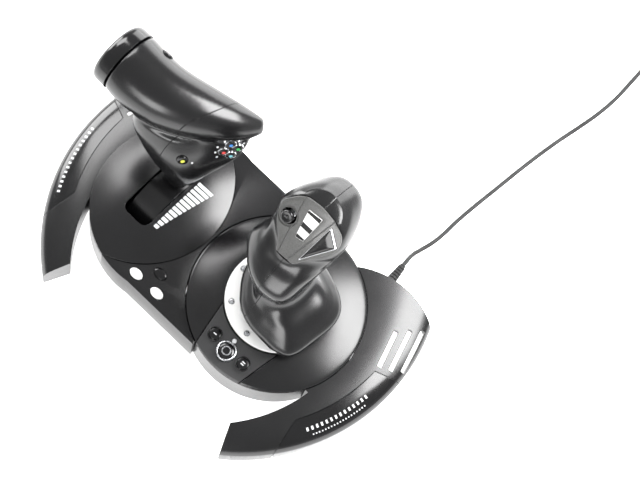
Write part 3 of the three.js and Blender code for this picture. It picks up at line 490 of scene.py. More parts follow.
def add_lead():
    floor = CORD["floor"]
    route = [
        relief_point(22), relief_point(27), (112.2, 126, 9.5), (112.3, 133, 5.2), (114, 141, 2.8),
        (116.5, 151, floor), (118.4, 163, floor), (119.3, 187, floor), (121.6, 213, floor),
        (124.1, 235, floor), (127, 262, floor), (130.6, 290, floor), (134.8, 316, floor),
        (139.2, 338, floor), (142.8, 358, floor), (145, 377, floor), (145.6, 394, floor),
        (145, 411, floor), (144.5, 430, floor),
    ]
    coil = coil_path()
    x, y, z = coil[-1]
    tail = [(x - 0.4, y + 9, z - 0.6), (x - 1.6, y + 18, z - 3.2), (x - 2.2, y + 27, z - 6.8),
            (x - 1.6, y + 33.5, z - 9.2), (x + 1.6, y + 37.4, 4.3), (x + 6, y + 38.3, 4.1)]
    points = smooth_curve([*route, *coil, *tail], 3, closed=False)
    curve = bpy.data.curves.new("lead", "CURVE")
    curve.dimensions = "3D"
    curve.bevel_depth = CORD["radius"] * MM
    curve.bevel_resolution = 5
    line = curve.splines.new("POLY")
    line.points.add(len(points) - 1)
    for place, point in zip(line.points, points):
        place.co = (*row(*point), 1)
    lead = new_object("lead", curve)
    curve.materials.append(MATERIALS["rubber"])
    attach(lead, "console")
    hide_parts("cable", "cable_coil")
    plug = add_plug()
    tie = add_tie()


def add_plug():
    x, y = CORD["coil_x"], CORD["coil_y"] + 29 + 9.3
    housing = edge_round(box("plug_housing", x - 20, x + 14, y - 8, y + 8, 0.1, 8.1), 1.4, 4)
    shell = box("plug_shell", x + 13, x + 30, y - 6, y + 6, 1.9, 6.4)
    hollow = box("hollow", x + 20, x + 31, y - 5.6, y + 5.6, 2.3, 6.0)
    windows = [box("window", x + 22, x + 24.5, side - 1.2, side + 1.2, 5, 8) for side in (y - 2.9, y + 2.9)]
    fit(combine(shell, hollow, *windows), "console", "steel")
    fit(housing, "console", "satin_black", ["usb_plug"])
    tongue = fit(box("plug_tongue", x + 19.5, x + 29, y - 5.2, y + 5.2, 2.5, 4.1), "console", "white_plastic")
    return [housing, shell, tongue]


def add_tie():
    x, y = CORD["coil_x"] + 23, CORD["coil_y"]
    band = edge_round(box("lead_tie", x - 7.6, x + 7.6, y - 3, y + 3, 0.1, 17.4), 0.7)
    hole = box("hole", x - 6.3, x + 6.3, y - 4, y + 4, 0, 16.4)
    return fit(combine(band, hole), "console", "satin_black", ["cable_tie"])


def add_strain_relief():
    """A tapered sleeve with moulded ribs."""
    stations = [(0, -7), (7.4, -7), (7.4, -5), (4.4, -4.9)]
    ribs = 6
    for k in range(ribs):
        start = 2.4 + k * 3.1
        radius = 4.6 - 0.22 * k
        stations += [(radius, start), (radius, start + 1.9)]
        stations += [(radius - 1.4, start + 2.1), (radius - 1.4, start + 3)]
    stations += [(2.9, 21.4), (2.6, 22), (0, 22)]
    sleeve = lathe("lead_sleeve", stations, 0, 0, 64, along(RELIEF, RELIEF_AIM))
    fit(sleeve, "console", "rubber", ["strain_relief"], 60)


add_lead()
add_strain_relief()


# ---- Stick unit: base ----
DOME_CROWN = [
    (77, 39.3), (79.3, 39.3), (79.95, 39.9), (80, 40.8), (79.6, 41.7), (78.5, 42.4), (70, 44.95), (60, 47.35),
    (52, 48.8), (48.2, 49.2),
]


def dome_profile():
    crown = flat_curve(DOME_CROWN[4:], 5)
    under = [(34.5, 46.7), (48, 46.9), (60, 44.7), (70, 42)]
    return [*under, *DOME_CROWN[:4], *crown, (34.5, 49.2), under[0]]


def panel_outline(margin):
    inner, outer = 34 + margin, 24.5 + margin
    corners = [(-inner, -33), (-outer, -86), (outer, -86), (inner, -33)]
    return [(STICK_X + x, y) for x, y in corners]


def add_stick_base():
    wall = lathe("stick_wall", [
        (77.6, 1.8), (79.4, 1.8), (80, 2.4), (80, 38.4), (79.4, 39),
        (73, 39), (73, 37), (77.6, 37), (77.6, 1.8),
    ], STICK_X, 0, 200)
    fit(wall, "console", "satin_black", ["stick_base_wall"])

    opening = combine(prism("opening", panel_outline(0), 30, 60), disc("collar", STICK_X, 0, 29, 61, 48, 200))
    dome = combine(lathe("stick_cover", dome_profile(), STICK_X, 0, 240), opening)
    fit(dome, "console", "satin_black", ["stick_dome"])

    inset = combine(prism("inset", panel_outline(-1), 30, 60), disc("collar", STICK_X, 0, 29, 61, 48.6, 200))
    holes = [disc("hole", STICK_X + x, y, 30, 60, radius, 64) for x, y, radius in
             ((-1, -64, 9.2), (-18.5, -60, 5.8), (17, -62, 5.8), (-2, -53, 2.4))]
    plate = combine(lathe("panel_plate", dome_profile(), STICK_X, 0, 240), inset, how="INTERSECT")
    finish(combine(plate, *holes), "console", PANEL_BLACK, ["control_panel"])


def button_profile(radius, bottom, top, corner=0.9):
    """A turned button with a rounded rim and a faint crown."""
    rim = [(radius - corner + corner * math.cos(a), top - corner + corner * math.sin(a))
           for a in (0, math.pi / 8, math.pi / 4, 3 * math.pi / 8, math.pi / 2)]
    return [(0, bottom), (radius, bottom), *rim, (radius * 0.5, top + 0.18), (0, top + 0.25)]


def ring_profile(inner, outer, bottom, top, corner=0.4):
    soft = corner * 0.3
    return [(inner, bottom), (outer, bottom), (outer, top - corner), (outer - soft, top - soft),
            (outer - corner, top), (inner + corner, top), (inner + soft, top - soft),
            (inner, top - corner), (inner, bottom)]


def add_panel_buttons():
    x, y = STICK_X - 1, -64
    cap = lathe("guide_cap", [
        (0, 38), (3, 38), (3, 42), (7.2, 42), (7.2, 48.2), (6.9, 49), (6.2, 49.35), (3, 49.7), (0, 49.8),
    ], x, y, 96)
    groove = lathe("groove", band(3.1, 4.3, 49.2, 51), x, y, 96)
    fit(combine(cap, groove), "guide_key", "gloss_black", ["guide_button"])
    symbol = lathe("guide_ring", band(3.15, 4.25, 49, 49.45), x, y, 96)
    fit(symbol, "guide_key", "steel")
    bezel = lathe("guide_rim", ring_profile(7.6, 8.9, 44.2, 49.4), x, y, 96)
    fit(bezel, "console", "steel", ["guide_bezel"])
    for side, dx, dy in (("left", -18.5, -60), ("right", 17, -62)):
        body = f"{side}_panel_key"
        key = lathe(f"{side}_panel_cap", button_profile(5.4, 36.9, 48.7), STICK_X + dx, dy, 72)
        fit(key, body, "gloss_black", [f"panel_button_{side}"])
        marks = (0,) if side == "left" else (-1.1, 1.1)
        for number, shift in enumerate(marks):
            mx, my = STICK_X + dx, dy + shift
            bar = box(f"{side}_panel_mark{number}", mx - 1.6, mx + 1.6, my - 0.45, my + 0.45, 48.4, 49)
            finish(bar, body, PRINT_WHITE)
        rim = lathe(f"{side}_panel_rim", ring_profile(5.85, 6.5, 46, 49.0, 0.25), STICK_X + dx, dy, 72)
        fit(rim, "console", "satin_black")


def add_collar():
    collar = lathe("collar_ring", [
        (33.5, 49.5), (47, 49.5), (47, 51.7), (46.7, 52.3), (46, 52.5), (34.4, 52.5), (33.7, 52.2),
        (33.5, 51.5), (33.5, 49.5),
    ], STICK_X, 0, 200)
    spots = [(i + 0.04) * math.pi / 4 for i in range(8)]
    centres = [(STICK_X + 41 * math.cos(a), 41 * math.sin(a)) for a in spots]
    holes = [lathe("hole", [(0, 48), (2.7, 48), (2.7, 52), (3.1, 54), (0, 54)], x, y, 40) for x, y in centres]
    groove = lathe("groove", band(39, 43, 49, 50.8), STICK_X, 0, 128)
    fit(combine(collar, groove, *holes), "console", "white_plastic", ["gimbal_collar"])
    carrier = lathe("stud_carrier", band(39.3, 42.7, 49.5, 50.5), STICK_X, 0)
    fit(carrier, "console", "steel", ["collar_studs"])
    for number, (x, y) in enumerate(centres):
        head = lathe(f"stud_{number}",
                     [(0, 50), (2.3, 50), (2.3, 52.4), (1.9, 53), (1.1, 53.2), (0, 53.25)], x, y, 40)
        slot = box("slot", x - 1.7, x + 1.7, y - 0.3, y + 0.3, 52.8, 54)
        fit(combine(head, slot), "console", "steel")


def add_boot():
    """The ball-shaped dust cover that turns with the shaft."""
    def arc(radius, start, end):
        stops = [math.radians(start + (end - start) * i / 24) for i in range(25)]
        return [(radius * math.sin(a), GIMBAL_Z + radius * math.cos(a)) for a in stops]

    outer = arc(40, 62, 9.2)
    inner = arc(37.8, 9.2, 62)
    fit(lathe("ball_cover", [*outer, *inner, outer[0]], STICK_X, 0, 160), "shaft", "satin_black",
        ["stick_boot"])


add_stick_base()
add_panel_buttons()
add_collar()
add_boot()

# ---- Stick unit: grip ----
SKIRT_EDGE = [
    (-40, 8), (-37.5, -7), (-27, -23), (-15, -34), (0, -39.5), (16, -40.5), (32, -40), (42, -36), (46.5, -28),
    (49.5, -10), (51.5, 12), (48, 25), (39, 34), (24, 41), (6, 46), (-12, 45), (-28, 36), (-37, 22),
]


def skirt(z, middle, factor):
    mx, my = middle
    return z, middle, [(mx + (x - mx) * factor, my + (y - my) * factor) for x, y in SKIRT_EDGE]


GRIP_SECTIONS = [
    skirt(71, (4, 2), 1), skirt(75, (4, 2), 0.985), skirt(81, (1, 3), 0.86), skirt(88, (-3, 4), 0.69),
    (97, (-8, 5), [(-33, 5), (-28, -12), (-8, -20), (12, -15), (18, 6), (13, 25), (-8, 34), (-28, 25)]),
    (110, (-10, 5), [(-34, 4), (-28, -13), (-10, -19), (8, -14), (14, 5), (9, 24), (-10, 33), (-29, 24)]),
    (124, (-12, 4), [(-39, 4), (-33, -14), (-12, -23), (9, -17), (16, 4), (11, 26), (-10, 35), (-33, 26)]),
    (138, (-14, 3),
     [(-46, 2), (-36, -13), (-18, -25), (-2, -28), (13, -23), (18, 4), (14, 28), (-10, 38), (-37, 28)]),
    (150, (-14, 4),
     [(-46, 2), (-35, -15), (-16, -27), (-2, -29), (13, -24), (19, 4), (16, 29), (-9, 41), (-36, 29)]),
    (160, (-12, 8),
     [(-42, 6), (-32, -10), (-15, -17), (-2, -18), (12, -14), (20, 8), (18, 34), (-9, 48), (-36, 32)]),
    (167, (-10, 16),
     [(-38, 14), (-30, -3), (-14, -6), (-2, -6), (10, -3), (20, 14), (19, 40), (-9, 60), (-36, 40)]),
    (175, (-9, 26),
     [(-40, 20), (-24, 4), (-9, -2), (6, 4), (22, 22), (19, 48), (2, 68), (-20, 68), (-38, 46)]),
    (184, (-9, 34),
     [(-41, 24), (-26, 8), (-9, 4), (9, 10), (23, 26), (20, 50), (4, 74), (-20, 75), (-39, 48)]),
    (194, (-9, 38),
     [(-41, 26), (-28, 16), (-9, 14), (10, 18), (22, 28), (19, 50), (3, 73), (-19, 74), (-37, 48)]),
    (204, (-9, 40),
     [(-36, 32), (-26, 24), (-9, 22), (9, 26), (18, 33), (14, 48), (0, 62), (-17, 63), (-32, 48)]),
    (211, (-9, 40),
     [(-28, 36), (-20, 31), (-9, 30), (2, 32), (9, 37), (6, 45), (-3, 51), (-15, 52), (-24, 46)]),
]
PANEL_EDGE = [
    (-17.7, -2), (1, -1.5), (21.5, 23), (20.5, 29), (17, 33), (4, 36.8), (-10, 38), (-24, 36.8),
    (-31, 33), (-38.5, 25), (-37, 19), (-32, 12), (-24.5, 7), (-19.5, 2),
]
DIAMOND = [(-17, 31.5), (-3, 32.5), (-4.5, 14), (-12, 13)]
TRIANGLE = [(6.5, 31.5), (18.5, 24.5), (2.5, 4.5)]
HAT = (-27, 19.5)
HAT_RADIUS = 5.6
PANEL_FOOT = Matrix.Translation((STICK_X, PANEL["foot_y"], PANEL["foot_z"]))
ON_PANEL = PANEL_FOOT @ Matrix.Rotation(PANEL["slope"], 4, "X")


def up_slope(y):
    return (y - PANEL["foot_y"]) / math.cos(PANEL["slope"])


def panel_points(points):
    return [(x, up_slope(y)) for x, y in points]


def grown(points, margin):
    """A convex outline moved outwards from its middle."""
    cx, cy = (sum(p[k] for p in points) / len(points) for k in (0, 1))
    result = []
    for x, y in points:
        length = math.hypot(x - cx, y - cy)
        result.append((cx + (x - cx) * (1 + margin / length), cy + (y - cy) * (1 + margin / length)))
    return result


def rounded(points, radius, steps=4):
    """An outline with its corners replaced by short curves."""
    result = []
    count = len(points)
    for i in range(count):
        before, corner, after = (Vector(points[(i + k - 1) % count]) for k in range(3))
        reach = min(radius, (before - corner).length * 0.45, (after - corner).length * 0.45)
        start = corner + (before - corner).normalized() * reach
        end = corner + (after - corner).normalized() * reach
        for step in range(steps + 1):
            t = step / steps
            point = start * (1 - t) ** 2 + corner * 2 * t * (1 - t) + end * t * t
            result.append((point.x, point.y))
    return result


def panel_prism(name, corners, z0, z1, corner, margin=0.0):
    """A prism on the head panel whose plan corners are moved outwards by a margin and rounded."""
    return prism(name, rounded(grown(panel_points(corners), margin), corner), z0, z1, ON_PANEL)


def grip_form(name, inset):
    rings = smooth_rings([outline_ring(section, inset) for section in GRIP_SECTIONS], 6)
    rings = [[p + Vector((STICK_X, 0, 0)) for p in ring] for ring in rings]
    if inset:
        rings[0] = [Vector((p.x, p.y, 69)) for p in rings[0]]
        rings = [ring for ring in rings if ring[0].z < 211 - inset]
    else:
        rings += soft_top(rings[-1], 1.2)
    return loft(name, rings)


def panel_holes():
    hat_x, hat_y = HAT[0], up_slope(HAT[1])
    return [
        disc("hat_hole", hat_x, hat_y, -12, 8, HAT_RADIUS + 1.6, 96, ON_PANEL),
        panel_prism("diamond_hole", DIAMOND, -12, 8, 1, 0.5),
        panel_prism("triangle_hole", TRIANGLE, -12, 8, 1.5, 0.5),
    ]


def add_grip_shells():
    shell = grip_form("grip_shell", 0)
    trigger_slot = box("slot", SEAM_X - 8.6, SEAM_X + 8.6, 24, 90, 134, 173)
    above = box("above", -80, 80, -1.5, 90, -GAP, 80, ON_PANEL)
    combine(shell, grip_form("hollow", 2.4), above, trigger_slot, *panel_holes())
    halves = (
        ("left", copy_of(shell), SEAM_X - 90, SEAM_X - SEAM_HALF),
        ("right", shell, SEAM_X + SEAM_HALF, SEAM_X + 90),
    )
    for side, half, x0, x1 in halves:
        half.name = f"grip_{side}_skin"
        combine(half, box("half", x0, x1, -90, 110, 60, 230), how="INTERSECT")
        fit(half, "grip", "satin_black", [f"grip_{side}"])


def add_head_panel():
    plate = edge_round(panel_prism("head_plate", PANEL_EDGE, 0, PANEL["thickness"], 3), 0.45)
    grooves = []
    for a, b in (((-26, 39), (-14.5, -4)), ((6, 39), (-6, -4))):
        start, end = (Vector(p) for p in panel_points([a, b]))
        across = (end - start).normalized().orthogonal() * 0.55
        corners = [start + across, end + across, end - across, start - across]
        grooves.append(prism("groove", corners, PANEL["thickness"] - 1.1, PANEL["thickness"] + 1, ON_PANEL))
    recess = lathe("recess", [(0, 1.2), (8.2, 1.2), (9.6, 2.3), (9.6, 4), (0, 4)], HAT[0], up_slope(HAT[1]),
                   96, ON_PANEL)
    fit(combine(plate, recess, *grooves, *panel_holes()), "grip", "grey_panel", ["head_panel"])


def add_hat():
    x, y = HAT[0], up_slope(HAT[1])
    r = HAT_RADIUS
    profile = [(0, -1.5), (2.2, -1.5), (2.2, 2.6), (r, 2.6), (r, 4.2), (r - 0.4, 5), (r - 1.2, 5.5),
               (r - 2, 5.2), (r - 3, 4.6), (1.6, 4.3), (1.3, 4.7), (0, 4.8)]
    fit(lathe("hat_cap", profile, x, y, 96, ON_PANEL), "hat", "gloss_black", ["hat_switch"], 50)


def add_head_keys():
    top = PANEL["thickness"]
    # The key is white plastic under three black gloss stripes. The white between the stripes is painted
    # reflection: it stands in for highlights on a key that is black gloss all over.
    key = edge_round(panel_prism("diamond_key_painted_reflection", DIAMOND, -4, top + 0.4, 1), 0.35)
    fit(key, "centre_key", "white_plastic", ["head_button_centre"])
    cx = -9.2
    for number, (y0, y1) in enumerate(((12, 15.6), (20.4, 23.6), (29.6, 33))):
        reach = (up_slope(y0), up_slope(y1), top + 0.25, top + 0.46)
        stripe = box(f"key_stripe_{number}", cx - 12, cx + 12, *reach, ON_PANEL)
        edge = panel_prism("edge", DIAMOND, top - 1, top + 2, 1, -0.4)
        fit(combine(stripe, edge, how="INTERSECT"), "centre_key", "gloss_black")
    ring = [Vector((x, y, -4)) for x, y in rounded(panel_points(TRIANGLE), 1.4)]
    rim = [Vector((p.x, p.y, top + 0.1)) for p in ring]
    middle = sum(rim, Vector()) / len(rim)
    crown = [middle + (p - middle) * 0.62 + Vector((0, 0, 0.9)) for p in rim]
    dish = [middle + (p - middle) * 0.3 + Vector((0, 0, 0.55)) for p in rim]
    rings = [[ON_PANEL @ p for p in ring_points] for ring_points in (ring, rim, crown, dish)]
    fit(loft("triangle_key", rings), "right_key", "gloss_black", ["head_button_right"], 20)
    outer = panel_prism("triangle_bezel", TRIANGLE, top - 0.6, top + 0.35, 1.8, 2.2)
    inner = panel_prism("inner", TRIANGLE, top - 2, top + 2, 1.5, 0.7)
    fit(combine(edge_round(outer, 0.25, 2), inner), "grip", "chrome")


def add_trigger():
    side = [(50, 171), (44, 164), (43, 152), (47, 139), (52, 134), (55, 136), (52, 146), (53, 158),
            (60, 168), (58, 171.5)]
    curve = flat_curve(side, 5, closed=True)
    rings = [[Vector((SEAM_X + dx, y, z)) for y, z in curve] for dx in (-7.5, 7.5)]
    fit(edge_round(loft("trigger_blade", rings), 1.6, 4, 60), "trigger", "gloss_black", ["trigger"])


add_grip_shells()
add_head_panel()
add_hat()
add_head_keys()
add_trigger()

# ---- Wings ----
WING_CENTRE_Y = 17
RIGHT = {"x": 2.5, "y": -2.4, "tip": 0}
LEFT = {"x": -2.1, "y": 6.9, "tip": -8.4}
WING_CROWN = [
    (184, 19), (182.6, 25), (179.5, 29.8), (173, 33.2), (163, 36), (150, 38.4), (130, 40),
    (100, 40.8), (60, 41),
]


def wing_outline(side, inset, z0, z1):
    sx, sy = side["x"], side["y"]
    outer = disc("wing", sx, WING_CENTRE_Y + sy, z0, z1, 183 - inset, 360)
    beyond = box("beyond", -200, 70, -200, 210, z0 - 1, z1 + 1)
    stick = disc("stick", STICK_X, 0, z0 - 1, z1 + 1, BASE_RADIUS + 0.5 + inset, 256)
    inner = disc("inner", sx - 8, sy - 13, z0 - 1, z1 + 1, 141 + inset, 360)
    combine(inner, box("below", -200, 200, -200, sy - 36 + inset, z0 - 2, z1 + 2), how="INTERSECT")
    behind = box("behind", 60, 230, 40, 220, z0 - 1, z1 + 1)
    combine(behind, disc("back", sx + 134.8, sy + 10.5, z0 - 2, z1 + 2, 84 - inset, 256))
    slide = sx + side["tip"] + inset
    tip_edge = [(119.6, -141), (94, -87), (40, -87), (40, -200), (119.6, -200)]
    tip = prism("tip", [(x + slide, y + sy) for x, y in tip_edge], z0 - 1, z1 + 1)
    return combine(outer, beyond, stick, inner, behind, tip)


def wing_body(side, inset, bottom):
    crown = [(max(r - inset * 0.6, 0), z - inset) for r, z in flat_curve(WING_CROWN, 8)]
    profile = [(0, -4), (187, -4), (186, 0), *crown, (0, 41 - inset)]
    top = lathe("crown", profile, side["x"], WING_CENTRE_Y + side["y"], 360)
    return combine(wing_outline(side, inset, bottom, 44), top, how="INTERSECT")


def vent_slots(side):
    slots = []
    for ends in (((149, 60), (160, 25.5)), ((157.5, 70), (169.5, 30.5)), ((165.5, 79), (178, 38))):
        a, b = (Vector((x + side["x"], y + side["y"])) for x, y in ends)
        across = (b - a).normalized().orthogonal() * 2.1
        slots.append(prism("vent", rounded([a + across, b + across, b - across, a - across], 1), -1, 60))
    return slots


def inlay_region(side, margin):
    def on_arc(degrees, radius):
        angle = math.radians(degrees)
        return radius * math.cos(angle), WING_CENTRE_Y + radius * math.sin(angle)

    arc = [on_arc(-26 + i, 160 - margin) for i in range(25)]
    lower = [(x - 0.98 * margin, y - 0.19 * margin) for x, y in ((150, -112), on_arc(-29, 160))]
    upper = [(x - 0.4 * margin, y + 0.92 * margin) for x, y in (on_arc(1, 160), (190, 33))]
    outline = [*lower, *arc, *upper, (200, -60)]
    return prism("inlay_region", [(x + side["x"], y + side["y"]) for x, y in outline], -0.5, 60)


def mirror(thing):
    for vertex in thing.data.vertices:
        vertex.co.x = -vertex.co.x
    thing.data.flip_normals()
    return thing


def add_wing(name, side):
    full = wing_body(side, 0, 4)
    inlay = combine(copy_of(full), inlay_region(side, 0), how="INTERSECT")
    combine(inlay, wing_body(side, 1.2, -1), box("low", 0, 200, -200, 200, 0, 5))
    pocket = combine(inlay_region(side, 0.45), wing_body(side, 1.5, -2))
    shell = combine(full, wing_body(side, 3.4, -1), pocket, *vent_slots(side))
    if name == "right":
        hole = disc("hole", 0, 0, -12, 18, 5.6, 64, along(RELIEF, RELIEF_AIM))
        seat = disc("seat", 0, 0, -7.6, -4.6, 8, 64, along(RELIEF, RELIEF_AIM))
        combine(shell, hole, seat)
    else:
        mirror(shell)
        mirror(inlay)
    shell.name = f"{name}_wing_shell"
    inlay.name = f"{name}_wing_gloss"
    fit(shell, "console", "satin_black", [f"{name}_wing"])
    fit(inlay, "console", "gloss_black", [f"{name}_wing_inlay"])
    return inlay


def surface_of(thing):
    return BVHTree.FromObject(thing, bpy.context.evaluated_depsgraph_get())


def print_patch(name, tree, corners, body, material, steps=(4, 3), thickness=0.1):
    """A thin printed patch laid on a surface below four plan corners."""
    a, b, c, d = (Vector(p) for p in corners)
    across, upward = steps
    rings = []
    for j in range(upward + 1):
        line = []
        for i in range(across + 1):
            s, t = i / across, j / upward
            point = (a * (1 - s) + b * s) * (1 - t) + (d * (1 - s) + c * s) * t
            hit = tree.ray_cast(row(point.x, point.y, 300), Vector((0, 0, -1)))[0]
            if hit is None:
                return None
            line.append((point.x, point.y, hit.z / MM))
        above = [(x, y, z + thickness * 0.6) for x, y, z in line]
        below = [(x, y, z - thickness) for x, y, z in reversed(line)]
        rings.append(above + below)
    return finish(loft(name, rings), body, material)


def add_wing_marks(name, inlay, centre, rows, sign):
    """Rows of short printed dashes that follow the inlay's arc."""
    tree = surface_of(inlay)
    for number, (radius, height, start, end, dashes) in enumerate(rows):
        step = (end - start) / dashes
        for k in range(dashes):
            corners = []
            low, high = radius - height / 2, radius + height / 2
            for r, share in ((low, 0.2), (low, 0.62), (high, 0.62), (high, 0.2)):
                angle = math.radians(start + (k + share) * step)
                corners.append((sign * (centre[0] + r * math.cos(angle)), centre[1] + r * math.sin(angle)))
            print_patch(f"{name}_mark_{number}_{k}", tree, corners, "console", PRINT_WHITE, (2, 2), 0.06)


right_inlay = add_wing("right", RIGHT)
left_inlay = add_wing("left", LEFT)
add_wing_marks("right", right_inlay, (2.5, 14.6),
               ((170.6, 3.2, -27, -5.4, 14), (176, 1.2, -25.5, -7.5, 19)), 1)
add_wing_marks("left", left_inlay, (-2.1, 23.9), ((174, 2.6, -30, -6.6, 15),), -1)


# ---- Throttle unit: base ----
def console_ring(inset, z):
    """The throttle base's outline: round on the left, square at back and front, hollow on the right."""
    radius, half, edge = BASE_RADIUS - inset, 79 - inset, 33 - inset
    reach = math.acos(math.sqrt(radius ** 2 - half ** 2) / radius)
    turns = [reach + (2 * math.pi - 2 * reach) * i / 120 for i in range(121)]
    points = [(THROTTLE_X + radius * math.cos(a), radius * math.sin(a)) for a in turns]
    scoop = BASE_RADIUS + 0.5 + inset
    tilt = math.acos((STICK_X - edge) / scoop)
    turns = [math.pi + tilt - 2 * tilt * i / 80 for i in range(81)]
    hollow = [(STICK_X + scoop * math.cos(a), scoop * math.sin(a)) for a in turns]
    return [Vector((x, y, z)) for x, y in (*points, (edge, -half), *hollow, (edge, half))]


def lens_prism(name, inset, z0, z1):
    left = disc(name, -103.9, 0, z0, z1, 80.6 - inset, 256)
    return combine(left, disc("round", THROTTLE_X, 0, z0 - 1, z1 + 1, BASE_RADIUS - inset, 256),
                   how="INTERSECT")


DECK_BUTTONS = {"left": (-46, -68.6, "white_plastic"), "right": (-21, -68.6, "white_plastic"),
                "upper": (-31, -54, "gloss_black")}


def add_throttle_base():
    rings = [console_ring(inset, z) for inset, z in
             ((0.6, 1.8), (0, 2.4), (0, 41.2), (0.25, 41.75), (0.8, 42))]
    case = loft("throttle_case", rings)
    hollow = loft("hollow", [console_ring(2.4, z) for z in (0, 37)])
    upper = combine(loft("upper", [console_ring(2.4, z) for z in (30, 39.5)]), lens_prism("keep", -3, -1, 60))
    holes = [prism("hole", oval(x, y, 13.8, 9.2), 30, 50) for x, y, _ in DECK_BUTTONS.values()]
    switch = box("switch", -6.5, 6.5, 70, 90, 20, 26)
    combine(case, hollow, upper, lens_prism("seat", -GAP, WALL_TOP, 60), lens_prism("opening", 6.5, 20, 60),
            switch, *holes)
    fit(case, "console", "satin_black", ["throttle_shell"])
    for name, (x, y, slot) in DECK_BUTTONS.items():
        rings = [[Vector((px, py, z)) for px, py in oval(x, y, 13 - 2 * inset, 8.4 - 2 * inset)]
                 for inset, z in ((0, 37), (0, 42.3), (0.25, 42.8), (0.8, 43.1), (2.2, 43.2))]
        fit(loft(f"deck_{name}_cap", rings), f"{name}_deck_key", slot, [f"deck_button_{name}"])


DOME_HALF = (58, 77)
DOME_MIDDLE = -81.7
DOME_EDGE, DOME_RISE = 42.3, 10.2


def crown_solid(name, drop):
    """A low oval crown that runs a little past its own edge."""
    reach, steps = 1.2, 36
    shares = [reach * (steps - i) / steps for i in range(steps + 1)]
    arc = [(share, DOME_EDGE - drop + DOME_RISE * (1 - share ** 2)) for share in shares]
    stretch = Matrix.Translation((DOME_MIDDLE, 0, 0)) @ Matrix.Diagonal((*DOME_HALF, 1, 1))
    return lathe(name, [(0, 0), (reach, 0), *arc], 0, 0, 200, stretch)


def add_throttle_dome():
    dome = combine(lens_prism("throttle_cover", 0.1, WALL_TOP + GAP, 60), crown_solid("crown", 0),
                   how="INTERSECT")
    hollow = combine(lens_prism("hollow", 2.6, 20, 60), crown_solid("under", 2.4), how="INTERSECT")
    corners = [(LEVER_X - 14.5, -36), (LEVER_X + 14.5, -36), (LEVER_X + 14.5, 49), (LEVER_X - 14.5, 49)]
    slot = prism("slot", rounded(corners, 9, 8), 30, 60)
    fit(combine(dome, hollow, slot), "console", "satin_black", ["throttle_dome"])
    return dome


def add_scale(dome):
    """The widening row of printed bars beside the slot."""
    tree = surface_of(dome)
    bars, low, high = 13, -29, 30
    pitch = (high - low) / bars
    for k in range(bars):
        y0 = low + k * pitch
        y1 = y0 + pitch * 0.74
        width = 3.4 + 13 * (k + 0.5) / bars
        x0 = -64.6 + 0.2 * k / bars
        corners = [(x0, y0), (x0 + width, y0 + 0.06 * width), (x0 + width + 0.5, y1 + 0.06 * width), (x0, y1)]
        print_patch(f"scale_bar_{k:02d}", tree, corners, "console", PRINT_WHITE)


add_throttle_base()
throttle_cover = add_throttle_dome()
add_scale(throttle_cover)

# ---- Throttle unit: handle ----
TUBE_STATIONS = [
    ((-162, 35, 148), 0, (30, 26)), ((-150, 34, 147.5), 1, (30, 26)), ((-136, 34.5, 146.5), 4, (29.5, 25.5)),
    ((-120, 37, 145), 12, (28.5, 25)), ((-104, 43, 142.5), 20, (26.5, 24)),
    ((-89, 50.5, 139.5), 26, (24, 22.5)), ((-76, 58, 136.5), 30, (21, 20)),
    ((-64, 66, 133.5), 33, (17, 17)), ((-54, 74, 131), 36, (12, 12)), ((-46, 81.2, 129.2), 38, (6.5, 6.5)),
]
BODY_SECTIONS = [
    (53, (-82, 17), [(-93, 11), (-82, 9), (-71, 11), (-70, 18), (-72, 25), (-82, 27), (-92, 25), (-94, 18)]),
    (64, (-82, 20),
     [(-95, 11), (-82, 8), (-70, 11), (-67.5, 21), (-71, 31), (-82, 35), (-94, 32), (-98, 21)]),
    (78, (-83, 24),
     [(-102, 8), (-84, 5), (-68, 11), (-60, 26), (-64, 40), (-82, 46), (-102, 42), (-110, 24)]),
    (92, (-86, 30),
     [(-109, 5), (-86, 3), (-68, 10), (-57, 30), (-52, 48), (-66, 56), (-92, 56), (-117, 46), (-122, 24)]),
    (106, (-88, 34),
     [(-117, 4), (-90, 3), (-70, 12), (-56, 34), (-47, 58), (-60, 66), (-92, 62), (-125, 52), (-133, 26)]),
    (120, (-90, 36),
     [(-126, 5), (-94, 6), (-75, 16), (-59, 40), (-47, 67), (-60, 72), (-95, 62), (-130, 54), (-140, 28)]),
    (133, (-90, 38),
     [(-128, 9), (-99, 12), (-80, 24), (-64, 46), (-49, 71), (-58, 72), (-90, 60), (-130, 52), (-140, 30)]),
]


def station_ring(station, inset, count=96):
    centre, heading, (half_across, half_up) = station
    turn = math.radians(heading)
    ring = []
    for i in range(count):
        angle = 2 * math.pi * i / count
        across = max(half_across - inset, 0.6) * math.cos(angle)
        up = max(half_up - inset, 0.6) * math.sin(angle)
        x, y = centre[0] - across * math.sin(turn), centre[1] + across * math.cos(turn)
        ring.append(Vector((x, y, centre[2] + up)))
    return ring


def handle_form(name, inset):
    tube = loft(name, smooth_rings([station_ring(station, inset) for station in TUBE_STATIONS], 6))
    rings = smooth_rings([outline_ring(section, inset) for section in BODY_SECTIONS], 6)
    return combine(tube, loft("lower", rings), how="UNION")


def blended(thing, voxel, rounds):
    """Melts the joint between joined forms into a soft fillet."""
    apply(thing, "REMESH", mode="VOXEL", voxel_size=voxel * MM)
    return apply(thing, "SMOOTH", factor=0.5, iterations=rounds)


def palm_region(margin):
    edge = [(-94, -60), (-92.5, 8), (-88.8, 26), (-81, 46), (-73, 76), (-70, 120)]
    curve = [(x + margin, y) for x, y in flat_curve(edge, 8)]
    return prism("palm", [(-250, -60), *curve, (-250, 120)], 113 - margin, 220)


def about_lever_axis():
    return (Matrix.Translation((0, 0, LEVER_Z)) @ Matrix.Rotation(LEVER_REST, 4, "X")
            @ Matrix.Translation((0, 0, -LEVER_Z)))


